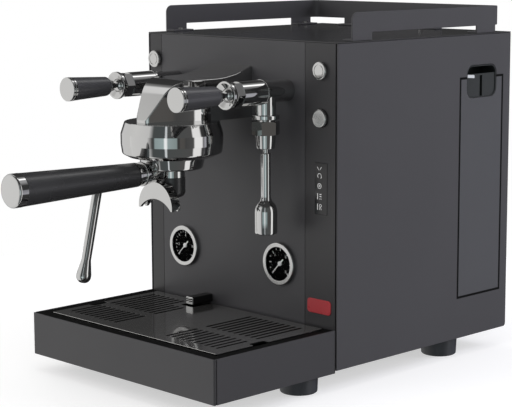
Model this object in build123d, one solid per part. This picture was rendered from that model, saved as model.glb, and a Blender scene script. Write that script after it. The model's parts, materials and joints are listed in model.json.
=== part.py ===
from build123d import *
import math
import os

# Casing
body_width = 300.0
body_depth = 292.0
body_height = 347.5
casing_sheet = 1.5
seam = 0.5
cover_seam = 1.6
cover_corner = 4.0
foot_height = 22.0
foot_radius = 21.0
foot_side_inset = 29.0
front_foot_reach = 28.0
rear_foot_depth = 204.0
floor_sheet = 2.0
tongue_inset = 10.0
tongue_reach = 62.0
rear_inset = 4.0

# Front panel and columns
left_column_width = 23.3
right_column_width = 47.3
panel_sheet = 2.0
column_return = 18.0
cap_radius = 9.75
cap_height = 4.3
cap_round = 1.6
cap_side_inset = 13.0
right_control_inset = 23.5
cap_level = 317.2
display_width = 18.0
display_height = 55.0
display_glass = 1.6
display_proud = 0.4
display_level = 193.0
plate_width = 34.0
plate_height = 15.5
plate_thickness = 1.2
plate_level = 66.0
plate_inset = 25.6

# Power button
button_level = 267.4
button_travel = 2.0
button_depth = 9.0
button_flange = 1.8
slide_gap = 0.3

# Cup rail
rail_height = 30.0
rail_sheet = 2.0
rail_inset = 2.5
rail_front = 24.7
rail_rear_inset = 15.0
rail_bend = 12.0
rail_nose = 8.0
rail_slot_height = 8.5
front_tab_length = 31.0
rear_tab_inset = 11.0
rear_tab_length = 34.0
back_tab_width = 156.0
back_tab_offset = -18.0
tab_foot = 12.0

# Screws
screw_radius = 1.5
screw_gap = 0.1
screw_head_radius = 3.2
screw_head_height = 1.8
screw_socket = 1.4
screw_socket_depth = 1.0

# Rear panel
vent_count = 9
vent_length = 74.0
vent_height = 4.0
vent_pitch = 11.0
vent_level = 210.0
vent_offset = 68.0
rear_screw_edge = 9.0
inlet_width = 31.0
inlet_height = 24.0
inlet_flange = 2.0
inlet_depth = 30.0
inlet_wall = 2.0
inlet_level = 48.0
inlet_side_inset = 28.5
inlet_cavity_depth = 24.0
inlet_pin_length = 16.0
inlet_pin_width = 4.0
inlet_pin_thickness = 2.0
inlet_pin_pitch = 7.0

# Brew group
group_reach = 86.0
neck_half_width = 34.6
neck_flank_reach = 78.0
neck_nose_half = 7.9
neck_nose_reach = 129.5
neck_nose_round = 7.0
neck_nose_lip = 2.0
neck_flank_round = 60.0
neck_flank_bulge = 2.0
neck_bulge_round = 190.0
neck_height = 45.0
neck_shoulder_reach = 113.0
neck_shoulder_height = 29.2
neck_saddle_reach = 54.0
neck_root_height = 56.0
neck_edge = 1.5
bell_bottom = 223.5
bell_height = 37.8
bell_rim_radius = 50.8
bell_radius = 55.0
bell_band_low = 14.0
bell_band_high = 25.3
bell_lip_radius = 46.0
bell_bore = 37.2
bell_ceiling = 12.7
bayonet_radius = 41.0
bayonet_low = 6.5
bayonet_high = 14.5
gasket_thickness = 5.0
gasket_inner = 29.0
gasket_outer = 36.5
screen_radius = 27.5
screen_thickness = 3.6

# Portafilter
handle_reach = 298.0
handle_level = 208.0
filter_radius = 35.5
filter_wall = 3.0
filter_bottom = 210.3
filter_floor = 3.7
basket_radius = 30.5
basket_wall = 0.8
basket_rim = 34.0
basket_depth = 25.0
seal_gap = 0.3
lug_width = 18.0
lug_height = 5.0
lug_gap = 1.0
boss_radius = 10.4
boss_back = 18.0
ferrule_length = 18.0
ferrule_radius = 11.6
ferrule_ring = 12.9
ferrule_ring_width = 3.0
grip_start_radius = 12.9
grip_end_radius = 17.0
handle_cap_length = 11.0
handle_cap_radius = 17.2
spout_stem_radius = 13.5
spout_stem_bottom = 179.2
spout_radius = 27.0
spout_centre = 170.4
spout_crown = 18.0
spout_inner_radius = 33.3
spout_tip_drop = 2.2
spout_front = 25.0
spout_depth = 12.0
spout_channel = 5.0
spout_channel_depth = 2.5

# Steam and hot water valves
valve_edge = 26.5
valve_level = 294.0
valve_tail_radius = 8.0
valve_tail_length = 16.0
valve_root_radius = 11.75
valve_ring_radius = 13.9
valve_ring_reach = 38.0
valve_ring_width = 2.5
valve_radius = 13.5
valve_reach = 74.0
hex_radius = 14.5
hex_length = 10.0
cup_radius = 15.0
cup_length = 7.0
cup_dish_radius = 12.8
ball_radius = 8.0
ball_gap = 0.3
ball_lip = 4.0
lever_shaft_radius = 3.0
lever_shaft_bite = 30.0
lever_bore_gap = 0.05
grip_reach = 100.0
lever_grip_length = 52.0
lever_neck_radius = 7.0
lever_grip_radius = 10.5
lever_grip_end_radius = 12.7
lever_cap_length = 6.0
lever_cap_radius = 12.9
lever_cap_groove = 0.8

# Wand joints, one under each valve
wand_reach = 32.0
stub_radius = 11.0
collar_radius = 14.6
collar_level = 263.6
collar_height = 6.6
collar_neck_radius = 8.5
collar_neck_height = 1.8
wand_hex_radius = 15.2
wand_hex_chamfer = 1.6
wand_hex_height = 14.6
cone_top_radius = 10.8
cone_bottom_radius = 9.6
cone_height = 14.7
wand_ball_radius = 5.7
wand_ball_rise = 4.6
wand_neck_radius = 3.0
wand_neck_length = 4.9
wand_mouth_radius = 5.6

# Hot water wand
water_tube_radius = 5.3
water_tube_length = 46.0
outlet_radius = 12.2
outlet_flare = 15.0
outlet_length = 25.5
outlet_recess = 3.0
outlet_recess_radius = 8.0

# Steam wand
steam_tube_radius = 5.25
steam_elbow_drop = 24.4
steam_forward_run = 84.5
steam_forward_drop = 15.0
steam_lower_reach = 25.6
steam_lower_drop = 110.5
steam_bend = 20.0
steam_tip_radius = 8.2
steam_tip_length = 26.0

# Gauges
gauge_edge = 37.4
gauge_level = 104.3
bezel_radius = 23.5
bezel_height = 4.0
bezel_width = 5.0
bezel_lip = 1.2
gauge_can_radius = 20.0
gauge_can_depth = 26.0
gauge_well = 2.9
gauge_well_radius = 19.3
dial_gap = 0.1
dial_thickness = 0.8
glass_thickness = 1.2
needle_length = 16.2
needle_tail = 6.0
needle_width = 1.1
needle_thickness = 0.6
needle_rise = 1.1
needle_hub_radius = 2.2
needle_hub_height = 2.4
needle_shaft_radius = 0.8
needle_shaft_gap = 0.05
needle_shaft_length = 5.0
needle_rest_angle = 225.0

# Drip tray
tray_reach = 174.6
tray_side_inset = 1.5
tray_bottom = -2.7
tray_top = 44.0
tray_sheet = 1.5
tray_back_gap = 0.6
tray_ledge = 5.0
tray_corner = 2.0
tray_groove = 1.6
tray_groove_depth = 1.0
pan_gap = 0.4
pan_flange = 2.8
pan_flange_drop = 0.8
pan_wall = 1.2
pan_depth = 38.0
grate_side_inset = 14.5
grate_front_inset = 16.1
grate_back_inset = 4.4
grate_thickness = 2.0
grate_proud = 0.4
grate_gap = 0.5
grate_ledge = 1.5
slot_count = 10
slot_width = 4.0
slot_field = 80.0
left_slot_inset = 10.0
right_slot_inset = 16.0
rear_slot_length = 68.0
rear_slot_inset = 13.0
front_slot_length = 44.5
front_slot_inset = 16.0
finger_notch_length = 22.0
finger_notch_depth = 8.0
finger_notch_reach = 96.0
nozzle_offset = -38.0
nozzle_width = 12.0
nozzle_height = 9.0
nozzle_reach = 30.0
nozzle_bore = 3.0
nozzle_level = 45.0
nozzle_front = 2.5
nozzle_notch_gap = 4.0
nozzle_notch_bar = 7.0

# Water tank
door_rear_inset = 13.5
door_depth = 78.0
door_bottom = 47.0
door_height = 252.0
door_seam = 1.6
scoop_width = 53.4
scoop_bottom = 275.0
scoop_height = 37.0
scoop_corner = 10.0
pocket_gap = 0.5
pocket_depth = 24.0
pocket_wall = 1.0
ledge_height = 27.0
ledge_recess = 0.8
ledge_thickness = 3.0
pocket_slot_width = 4.5
pocket_slot_bar = 2.0
tank_inlet_gap = 11.0
tank_wall = 3.0
tank_side_gap = 2.5
tank_top_gap = 6.0
shelf_sheet = 2.0
shelf_gap = 0.4
shelf_overhang = 6.5

# Inside
boiler_wall = 2.0
boiler_bore = 4.0
brew_boiler_radius = 38.0
brew_boiler_length = 78.0
brew_boiler_level = 285.0
brew_boiler_corner = 8.0
boiler_port_radius = 12.0
boiler_port_reach = 8.0
port_room = 2.0
steam_boiler_radius = 50.0
steam_boiler_length = 210.0
steam_boiler_depth = 142.0
steam_boiler_level = 222.0
steam_boiler_corner = 12.0
boiler_leg_width = 4.0
boiler_leg_length = 60.0
boiler_leg_inset = 24.0
pipe_boss_radius = 7.0
pipe_boss_height = 6.0
pipe_radius = 4.0
pipe_bend = 10.0
pump_radius = 30.0
pump_length = 120.0
pump_depth = 62.0
pump_offset = 18.0
pump_foot_width = 44.0
control_valve_gap = 4.0
control_depth = 80.0
control_height = 84.0
control_side_gap = 7.5
control_front = 28.0
box_corner = 4.0
solenoid_width = 26.0
solenoid_depth = 34.0
solenoid_height = 62.0
hole_gap = 0.3

# Reference planes of the casing
half = body_width / 2
panel_y = (handle_reach - body_depth) / 2
rear_y = panel_y + body_depth
base_z = foot_height
floor_z = base_z + floor_sheet
top_z = base_z + body_height
roof_z = top_z - casing_sheet
cover_inner_x = half - casing_sheet
column_edge_x = cover_inner_x - cover_seam
panel_left_x = left_column_width - half
panel_right_x = half - right_column_width
group_x = (panel_left_x + panel_right_x) / 2
group_y = panel_y - group_reach
valve_z = base_z + valve_level
valve_xs = {"steam": panel_left_x + valve_edge, "water": panel_right_x - valve_edge}
gauge_xs = {"left": panel_left_x + gauge_edge, "right": panel_right_x - gauge_edge}
gauge_z = base_z + gauge_level
cap_z = base_z + cap_level
right_control_x = half - right_control_inset
button_z = base_z + button_level


def block(x0, x1, y0, y1, z0, z1):
    """A box between two opposite corners."""
    middle = Pos((x0 + x1) / 2, (y0 + y1) / 2, (z0 + z1) / 2)
    return middle * Box(x1 - x0, y1 - y0, z1 - z0)


def turned(*corners):
    """A turned solid about Z from (radius, height) corners, with an optional corner radius each."""
    points = [corner[:2] for corner in corners]
    radii = [corner[2] if len(corner) > 2 else 0 for corner in corners]
    outline = FilletPolyline(*points, radius=radii, close=True)
    return revolve(Plane.XZ * make_face(outline), Axis.Z)


def facing(x, z, reach=0.0):
    """A plane in front of the panel whose normal points at the user."""
    return Plane(origin=(x, panel_y - reach, z), x_dir=(1, 0, 0), z_dir=(0, -1, 0))


def upright(x, reach):
    """A place in front of the panel for what is turned about a vertical axis."""
    return Pos(x, panel_y - reach, 0)


def hexagon(radius, height):
    return extrude(RegularPolygon(radius, 6), height)


def pipe(points, radius, bend):
    """A round bar along straight runs joined by arcs."""
    path = FilletPolyline(*points, radius=bend)
    section = Plane(origin=path @ 0, z_dir=path % 0) * Circle(radius)
    return sweep(section, path=path)


def group_of(pieces):
    """Separate solids that share one node."""
    return Compound(children=[solid for piece in pieces for solid in piece.solids()])


# Casing pieces


def chassis_base():
    floor = block(-cover_inner_x, cover_inner_x, panel_y, rear_y - rear_inset, base_z, floor_z)
    tongue_x = half - tongue_inset
    tongue = block(-tongue_x, tongue_x, panel_y - tongue_reach, panel_y, base_z, floor_z)
    return floor + tongue


def feet():
    foot = turned((0, 0), (foot_radius - 1, 0, 2), (foot_radius, foot_height), (0, foot_height))
    foot_x = half - foot_side_inset
    foot_ys = (panel_y - front_foot_reach, panel_y + rear_foot_depth)
    return group_of([Pos(x, y) * foot for x in (-foot_x, foot_x) for y in foot_ys])


def front_panel():
    panel = block(panel_left_x, panel_right_x, panel_y, panel_y + panel_sheet, floor_z, roof_z)
    through = 4 * panel_sheet
    for x in valve_xs.values():
        panel -= facing(x, valve_z) * Cylinder(valve_tail_radius + hole_gap, through)
    for x in gauge_xs.values():
        panel -= facing(x, gauge_z) * Cylinder(gauge_can_radius + hole_gap, through)
    panel -= facing(group_x, base_z + brew_boiler_level) * Cylinder(boiler_port_radius + hole_gap, through)
    panel -= facing(group_x + nozzle_offset, nozzle_z) * Cylinder(nozzle_bore, through)
    return panel


def column(x_panel, x_side):
    """A folded strip beside the panel, with its return along the side cover."""
    face = block(min(x_panel, x_side), max(x_panel, x_side), panel_y, panel_y + panel_sheet, floor_z, roof_z)
    inward = panel_sheet if x_side < 0 else -panel_sheet
    edges = sorted((x_side, x_side + inward))
    return face + block(*edges, panel_y, panel_y + column_return, floor_z, roof_z)


def left_front_column():
    strip = column(panel_left_x - seam, -column_edge_x)
    return strip - facing(cap_left_x, cap_z) * Cylinder(screw_radius + screw_gap, 4 * panel_sheet)


def right_front_column():
    strip = column(panel_right_x + seam, column_edge_x)
    through = 4 * panel_sheet
    strip -= facing(right_control_x, cap_z) * Cylinder(screw_radius + screw_gap, through)
    strip -= facing(right_control_x, button_z) * Cylinder(cap_radius + slide_gap, through)
    window = Box(display_width, display_height, through)
    return strip - facing(right_control_x, base_z + display_level) * window


def display_window():
    depth = display_glass
    pane = Box(display_width, display_height, depth)
    pane = fillet(pane.edges().group_by(Axis.Z)[-1], display_proud / 2)
    return facing(right_control_x, base_z + display_level, display_proud - depth / 2) * pane


def blank_plate():
    plate = extrude(RectangleRounded(plate_width, plate_height, plate_height / 4), plate_thickness)
    plate = chamfer(plate.edges().group_by(Axis.Z)[-1], plate_thickness / 3)
    return facing(half - plate_inset, base_z + plate_level) * plate


def panel_cap_screws():
    rim = cap_radius
    cap = turned(
        (0, 0),
        (rim, 0),
        (rim, cap_height, cap_round),
        (rim - 3, cap_height),
        (rim - 3, cap_height - 0.7),
        (rim - 3.8, cap_height - 0.7),
        (rim - 3.8, cap_height),
        (0, cap_height),
    )
    shank = Pos(0, 0, -panel_sheet / 2) * Cylinder(screw_radius, panel_sheet)
    return group_of([facing(x, cap_z) * (cap + shank) for x in (cap_left_x, right_control_x)])


def power_button():
    cap = turned(
        (0, -button_depth),
        (cap_radius + button_flange, -button_depth),
        (cap_radius + button_flange, -panel_sheet - slide_gap),
        (cap_radius, -panel_sheet - slide_gap),
        (cap_radius, cap_height, cap_round),
        (0, cap_height),
    )
    return facing(right_control_x, button_z) * cap


def side_sheet(x0, x1):
    """A side cover's sheet, with its lower rear corner rounded."""
    sheet = block(x0, x1, panel_y, rear_y, base_z, roof_z)
    return fillet(sheet.edges().filter_by(Axis.X).group_by(Axis.Y)[-1].group_by(Axis.Z)[0], cover_corner)


def left_side_cover():
    return side_sheet(-half, -cover_inner_x)


def scoop_cutter(inset, x0, x1):
    """The finger opening's outline, as a bar along X."""
    shape = RectangleRounded(scoop_width - 2 * inset, scoop_height - 2 * inset, scoop_corner - inset)
    outline = Plane.YZ * Pos(door_y, base_z + scoop_bottom + scoop_height / 2) * shape
    return Pos(x0, 0, 0) * extrude(outline, x1 - x0)


def right_side_cover():
    cover = side_sheet(cover_inner_x, half)
    cover -= block(cover_inner_x - 1, half + 1, door_y0, door_y1, door_z0, door_z1)
    return cover - scoop_cutter(0, cover_inner_x - 1, half + 1)


def rear_panel():
    outer_y = rear_y - rear_inset
    panel = block(-cover_inner_x, cover_inner_x, outer_y - casing_sheet, outer_y, floor_z, roof_z)
    for side in (-vent_offset, vent_offset):
        for row in range(vent_count):
            level = base_z + vent_level + row * vent_pitch
            slot = extrude(SlotOverall(vent_length, vent_height), 4 * casing_sheet, both=True)
            panel -= Plane(origin=(side, outer_y, level), x_dir=(1, 0, 0), z_dir=(0, 1, 0)) * slot
    for x, z in rear_screw_places:
        hole = Cylinder(screw_radius + screw_gap, 4 * casing_sheet)
        panel -= Plane(origin=(x, outer_y, z), z_dir=(0, 1, 0)) * hole
    body_x = inlet_width / 2 - inlet_wall
    body_z = inlet_height / 2 - inlet_wall
    cut = block(-body_x, body_x, -2 * casing_sheet, 2 * casing_sheet, -body_z, body_z)
    return panel - Pos(inlet_x, outer_y, base_z + inlet_level) * cut


def power_inlet():
    half_x = inlet_width / 2
    half_z = inlet_height / 2
    neck_x = half_x - inlet_wall
    neck_z = half_z - inlet_wall
    body = block(-half_x, half_x, 0, inlet_flange, -half_z, half_z)
    body += block(-neck_x, neck_x, -inlet_depth, 0, -neck_z, neck_z)
    mouth_x = neck_x - inlet_wall
    mouth_z = neck_z - inlet_wall
    cavity_y = inlet_flange - inlet_cavity_depth
    body -= block(-mouth_x, mouth_x, cavity_y, inlet_flange + 1, -mouth_z, mouth_z)
    for column_index in (-1, 0, 1):
        x = column_index * inlet_pin_pitch
        z = -inlet_pin_width / 2 if column_index else inlet_pin_width / 2
        pin = Box(inlet_pin_thickness, inlet_pin_length, inlet_pin_width)
        body += Pos(x, cavity_y + inlet_pin_length / 2, z) * pin
    return Pos(inlet_x, rear_y - rear_inset, base_z + inlet_level) * body


def top_plate():
    plate = block(-half, half, panel_y, rear_y, roof_z, top_z)
    for x, y in rail_screw_places:
        plate -= Pos(x, y, roof_z) * Cylinder(screw_radius + screw_gap, 4 * casing_sheet)
    return plate


def cup_rail():
    outer = block(-rail_x, rail_x, rail_y0, rail_y1, top_z, top_z + rail_height)
    outer = fillet(outer.edges().filter_by(Axis.Z).group_by(Axis.Y)[-1], rail_bend)
    inner_x = rail_x - rail_sheet
    inner = block(-inner_x, inner_x, rail_y0 - 1, rail_y1 - rail_sheet, top_z - 1, top_z + rail_height + 1)
    inner = fillet(inner.edges().filter_by(Axis.Z).group_by(Axis.Y)[-1], rail_bend - rail_sheet)
    wall = outer - inner
    nose = wall.edges().filter_by(Axis.X).group_by(Axis.Y)[0].group_by(Axis.Z)[-1]
    wall = fillet(nose, rail_nose)
    slot_z = top_z + rail_slot_height
    wall -= block(-half, half, rail_y0 + front_tab_length, rear_tab_y0, top_z - 1, slot_z)
    for x0, x1 in ((-half, back_tab_x0), (back_tab_x1, half)):
        wall -= block(x0, x1, rear_tab_y1, rail_y1 + 1, top_z - 1, slot_z)
    foot_z = top_z + rail_sheet
    for low, high in rail_tabs:
        for sign in (-1, 1):
            edges = sorted((sign * inner_x, sign * (inner_x - tab_foot)))
            wall += block(*edges, low, high, top_z, foot_z)
    back_y = rail_y1 - rail_sheet
    wall += block(back_tab_x0, back_tab_x1, back_y - tab_foot, back_y, top_z, foot_z)
    for x, y in rail_screw_places:
        wall -= Pos(x, y, foot_z) * Cylinder(screw_radius + screw_gap, 4 * rail_sheet)
    return wall


def screw(grip):
    """A socket screw with its head on the plane z = 0 and its shank below."""
    radius = screw_head_radius
    height = screw_head_height
    head = turned((0, 0), (radius, 0), (radius, height, radius / 3), (0, height))
    socket = Pos(0, 0, height - screw_socket_depth) * hexagon(screw_socket, height)
    return head - socket + Pos(0, 0, -grip / 2) * Cylinder(screw_radius, grip)


def casing_screws():
    rail_screw = screw(rail_sheet + casing_sheet)
    rear_screw = screw(casing_sheet)
    screws = [Pos(x, y, top_z + rail_sheet) * rail_screw for x, y in rail_screw_places]
    for x, z in rear_screw_places:
        screws.append(Plane(origin=(x, rear_y - rear_inset, z), z_dir=(0, 1, 0)) * rear_screw)
    return group_of(screws)


# Brew group


def group_neck():
    root = panel_y
    bottom = bell_top
    flank = Vector(neck_half_width, root - neck_flank_reach)
    nose_corner = Vector(neck_nose_half, root - neck_nose_reach)
    taper = (nose_corner - flank).normalized()
    bulge = (flank + nose_corner) * 0.5 + Vector(-taper.Y, taper.X) * neck_flank_bulge
    right_side = [Vector(neck_half_width, root), flank, bulge, nose_corner]
    left_side = [Vector(-point.X, point.Y) for point in reversed(right_side)]
    rounds = [neck_flank_round, neck_bulge_round, neck_nose_round]
    outline = FilletPolyline(*right_side, *left_side, radius=rounds + rounds[::-1])
    plan = make_face([outline, Line(outline @ 1, outline @ 0)])
    walls = Pos(group_x, 0, bottom) * extrude(plan, neck_root_height + 1)
    nose = (root - neck_nose_reach - 1, neck_nose_lip)
    slope = Line(nose, (root - neck_shoulder_reach, neck_shoulder_height))
    crown = TangentArc(slope @ 1, (root - neck_reach_of_crown, neck_height), tangent=slope % 1)
    saddle = Line(crown @ 1, (root - neck_saddle_reach, neck_height))
    sweep_up = TangentArc(saddle @ 1, (root, neck_root_height), tangent=(1, 0))
    back = Polyline(sweep_up @ 1, (root, 0), (root - neck_nose_reach - 1, 0), slope @ 0)
    profile = make_face([slope, crown, saddle, sweep_up, back])
    side = Plane(origin=(group_x - body_width, 0, bottom), x_dir=(0, 1, 0), z_dir=(1, 0, 0)) * profile
    neck = walls & extrude(side, 2 * body_width)
    upper = [edge for edge in neck.edges() if edge.center().Z > bottom + 1 and edge.center().Y < root - 1]
    rim = [edge for edge in upper if abs(edge.tangent_at(0.5).Z) < 0.99 and abs(edge.tangent_at(0.5).X) < 0.9]
    neck = fillet(rim, neck_edge)
    port_length = 2 * (boiler_port_reach + port_room)
    port = facing(group_x, base_z + brew_boiler_level) * Cylinder(boiler_port_radius + hole_gap, port_length)
    return neck - port


def group_bell():
    z = bell_z
    ceiling_z = bell_top - bell_ceiling
    bell = turned(
        (bell_bore, z),
        (bell_lip_radius, z, 3),
        (bell_radius - 1.5, z + 4, 3),
        (bell_radius, z + bell_band_low, 1),
        (bell_radius, z + bell_band_high, 1),
        (bell_rim_radius, bell_top, 1),
        (0, bell_top),
        (0, ceiling_z),
        (bell_bore, ceiling_z),
        (bell_bore, z + bayonet_high),
        (bayonet_radius, z + bayonet_high),
        (bayonet_radius, z + bayonet_low),
        (bell_bore, z + bayonet_low),
    )
    entry = block(0, bayonet_radius, -lug_width / 2 - 2, lug_width / 2 + 2, z - 1, z + bayonet_low + 1)
    for angle in (unlock_angle, unlock_angle + 180):
        bell -= Rot(0, 0, angle) * entry
    return Pos(group_x, group_y, 0) * bell


def group_gasket():
    top = bell_top - bell_ceiling
    low = top - gasket_thickness
    ring = turned((gasket_inner, low), (gasket_outer, low, 0.6), (gasket_outer, top), (gasket_inner, top))
    return Pos(group_x, group_y, 0) * ring


def shower_screen():
    top = bell_top - bell_ceiling
    low = top - screen_thickness
    disc = turned((0, low), (screen_radius, low, 1), (screen_radius, top), (0, top))
    return Pos(group_x, group_y, 0) * disc


# Portafilter


def portafilter_body():
    low = base_z + filter_bottom
    inner = filter_radius - filter_wall
    cup = turned(
        (0, low),
        (filter_radius, low, 2),
        (filter_radius, filter_rim_z, 0.6),
        (inner, filter_rim_z),
        (inner, low + filter_floor),
        (0, low + filter_floor),
    )
    lug_z = bell_z + (bayonet_low + bayonet_high) / 2
    lug_reach = bayonet_radius - lug_gap
    lugs = Pos(0, 0, lug_z) * Box(2 * lug_reach, lug_width, lug_height)
    lugs &= Pos(0, 0, lug_z) * Cylinder(lug_reach, lug_height)
    lugs -= Pos(0, 0, lug_z) * Cylinder(filter_radius - filter_wall / 2, 2 * lug_height)
    boss = turned(
        (0, boss_back),
        (boss_radius, boss_back, boss_radius / 2),
        (boss_radius, boss_front),
        (0, boss_front),
    )
    boss = Pos(0, 0, handle_z) * Rot(90, 0, 0) * boss
    boss -= Pos(0, 0, filter_rim_z) * Cylinder(inner, 2 * (filter_rim_z - low - filter_floor))
    return Pos(group_x, group_y, 0) * (cup + lugs + boss)


def filter_basket():
    low = filter_rim_z - basket_depth
    cup = turned(
        (0, low),
        (basket_radius, low, 3),
        (basket_radius, filter_rim_z),
        (basket_rim, filter_rim_z),
        (basket_rim, filter_rim_z + basket_wall),
        (basket_radius - basket_wall, filter_rim_z + basket_wall),
        (basket_radius - basket_wall, low + basket_wall, 2.2),
        (0, low + basket_wall),
    )
    return Pos(group_x, group_y, 0) * cup


def portafilter_ferrule():
    root = ferrule_ring
    start = boss_front
    first = start + ferrule_length / 3
    last = start + ferrule_length - ferrule_ring_width
    sleeve = turned(
        (0, start),
        (ferrule_radius, start, 1),
        (ferrule_radius, first),
        (root, first, 0.6),
        (root, first + ferrule_ring_width, 0.6),
        (ferrule_radius, first + ferrule_ring_width),
        (ferrule_radius, last),
        (root, last, 0.6),
        (root, start + ferrule_length),
        (0, start + ferrule_length),
    )
    return facing(group_x, handle_z, group_reach) * sleeve


def portafilter_grip():
    start = boss_front + ferrule_length
    grip = turned(
        (0, start),
        (grip_start_radius, start, 1.5),
        (grip_end_radius, handle_cap_start, 0.6),
        (0, handle_cap_start),
    )
    return facing(group_x, handle_z, group_reach) * grip


def portafilter_cap():
    end = handle_reach - group_reach
    cap = turned(
        (0, handle_cap_start),
        (handle_cap_radius, handle_cap_start, 0.5),
        (handle_cap_radius, end, 2.5),
        (0, end),
    )
    return facing(group_x, handle_z, group_reach) * cap


def portafilter_spout():
    stem = turned(
        (0, base_z + spout_stem_bottom),
        (spout_stem_radius, base_z + spout_stem_bottom, spout_stem_radius / 2),
        (spout_stem_radius, base_z + filter_bottom),
        (0, base_z + filter_bottom),
    )
    inner_drop = spout_radius - spout_crown - spout_inner_radius
    reach = 2 * spout_radius
    hollow = Pos(0, inner_drop) * Circle(spout_inner_radius)
    below = Pos(0, -spout_tip_drop - reach / 2) * Rectangle(2 * reach, reach)
    arch = extrude(Circle(spout_radius) - hollow - below, spout_depth)
    channel = Pos(0, inner_drop, (spout_depth - spout_channel) / 2)
    upwards = (Align.CENTER, Align.CENTER, Align.MIN)
    groove = Cylinder(spout_inner_radius + spout_channel_depth, spout_channel, align=upwards)
    arch -= channel * groove
    # The arch's front face stands out ahead of the stem, which it runs into at the back.
    origin = (0, spout_depth - spout_front, base_z + spout_centre)
    seat = Plane(origin=origin, x_dir=(1, 0, 0), z_dir=(0, -1, 0))
    bridge = block(
        -spout_stem_radius / 2,
        spout_stem_radius / 2,
        spout_depth - spout_front,
        -spout_stem_radius / 2,
        base_z + spout_stem_bottom + spout_stem_radius / 2,
        base_z + spout_centre + spout_radius - 2,
    )
    return Pos(group_x, group_y, 0) * (stem + seat * arch + bridge)


# Valves, levers and wand joints


def valve_body(x):
    barrel = turned(
        (0, -valve_tail_length),
        (valve_tail_radius, -valve_tail_length),
        (valve_tail_radius, 0),
        (valve_root_radius, 0),
        (valve_root_radius, valve_ring_reach),
        (valve_ring_radius, valve_ring_reach, 0.4),
        (valve_ring_radius, valve_ring_reach + valve_ring_width, 0.4),
        (valve_radius, valve_ring_reach + valve_ring_width),
        (valve_radius, valve_reach),
        (0, valve_reach),
    )
    stub = turned(
        (0, valve_z),
        (stub_radius, valve_z),
        (stub_radius, collar_z + collar_height),
        (collar_radius, collar_z + collar_height, 0.8),
        (collar_radius, collar_z + collar_neck_height, 0.8),
        (collar_neck_radius, collar_z + collar_neck_height),
        (collar_neck_radius, collar_z),
        (0, collar_z),
    )
    return facing(x, valve_z) * barrel + upright(x, wand_reach) * stub


def valve_cup(x):
    start = valve_reach + hex_length
    cup = Pos(0, 0, valve_reach) * hexagon(hex_radius, hex_length)
    cup += turned(
        (0, start),
        (hex_radius - 2, start),
        (cup_radius, start + cup_length / 2, 1),
        (cup_radius, start + cup_length, 0.8),
        (0, start + cup_length),
    )
    cavity = ball_radius + ball_gap
    mouth = math.sqrt(cavity**2 - ball_lip**2)
    dish = turned(
        (0, start + ball_lip),
        (mouth, start + ball_lip),
        (cup_dish_radius, start + cup_length),
        (0, start + cup_length),
    )
    ball_room = Pos(0, 0, start) * Sphere(cavity)
    shaft_room = Pos(0, 0, valve_reach) * Cylinder(cavity / 2, 1)
    return facing(x, valve_z) * (cup - ball_room - dish - shaft_room)


def lever_shaft(x):
    centre = valve_reach + hex_length
    end = grip_reach + lever_shaft_bite
    rod = Pos(0, 0, (centre + end) / 2) * Cylinder(lever_shaft_radius, end - centre)
    return facing(x, valve_z) * (Pos(0, 0, centre) * Sphere(ball_radius) + rod)


def lever_grip(x):
    end = grip_reach + lever_grip_length
    bite = grip_reach + lever_shaft_bite
    bore = lever_shaft_radius + lever_bore_gap
    grip = turned(
        (bore, grip_reach),
        (lever_neck_radius, grip_reach, 2),
        (lever_grip_radius, grip_reach + 5, 3),
        (lever_grip_end_radius, end),
        (0, end),
        (0, bite),
        (bore, bite),
    )
    return facing(x, valve_z) * grip


def lever_cap(x):
    start = grip_reach + lever_grip_length
    middle = start + lever_cap_length / 2
    groove = lever_cap_radius - lever_cap_groove
    end = start + lever_cap_length
    cap = turned(
        (0, start),
        (lever_cap_radius, start, 0.4),
        (lever_cap_radius, middle - lever_cap_groove / 2, 0.3),
        (groove, middle - lever_cap_groove / 2),
        (groove, middle + lever_cap_groove / 2),
        (lever_cap_radius, middle + lever_cap_groove / 2, 0.3),
        (lever_cap_radius, end, 0.6),
        (0, end),
    )
    return facing(x, valve_z) * cap


def wand_nut(x):
    hex_corner = wand_hex_radius - wand_hex_chamfer
    chamfered = turned(
        (0, nut_z),
        (hex_corner, nut_z),
        (wand_hex_radius + 1, nut_z + wand_hex_chamfer),
        (wand_hex_radius + 1, collar_z - wand_hex_chamfer),
        (hex_corner, collar_z),
        (0, collar_z),
    )
    nut = chamfered & Pos(0, 0, nut_z) * hexagon(wand_hex_radius, wand_hex_height)
    nut += turned(
        (0, cone_z),
        (cone_bottom_radius, cone_z, 0.5),
        (cone_top_radius, nut_z),
        (0, nut_z),
    )
    cavity = wand_ball_radius + ball_gap
    lip = wand_ball_rise - 1.2
    throat = math.sqrt(cavity**2 - lip**2)
    mouth = turned(
        (0, cone_z - 1),
        (wand_mouth_radius, cone_z - 1),
        (wand_mouth_radius, cone_z),
        (throat, wand_ball_z - lip),
        (0, wand_ball_z - lip),
    )
    return upright(x, wand_reach) * (nut - Pos(0, 0, wand_ball_z) * Sphere(cavity) - mouth)


def wand_ball():
    """The ball and neck at the top of a wand."""
    length = wand_ball_z - neck_end_z
    neck = Pos(0, 0, wand_ball_z - length / 2) * Cylinder(wand_neck_radius, length)
    return Pos(0, 0, wand_ball_z) * Sphere(wand_ball_radius) + neck


def water_wand_tube():
    end = neck_end_z - water_tube_length
    tube = turned(
        (0, neck_end_z),
        (water_tube_radius, neck_end_z, 1),
        (water_tube_radius, end),
        (0, end),
    )
    return upright(valve_xs["water"], wand_reach) * (wand_ball() + tube)


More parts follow.
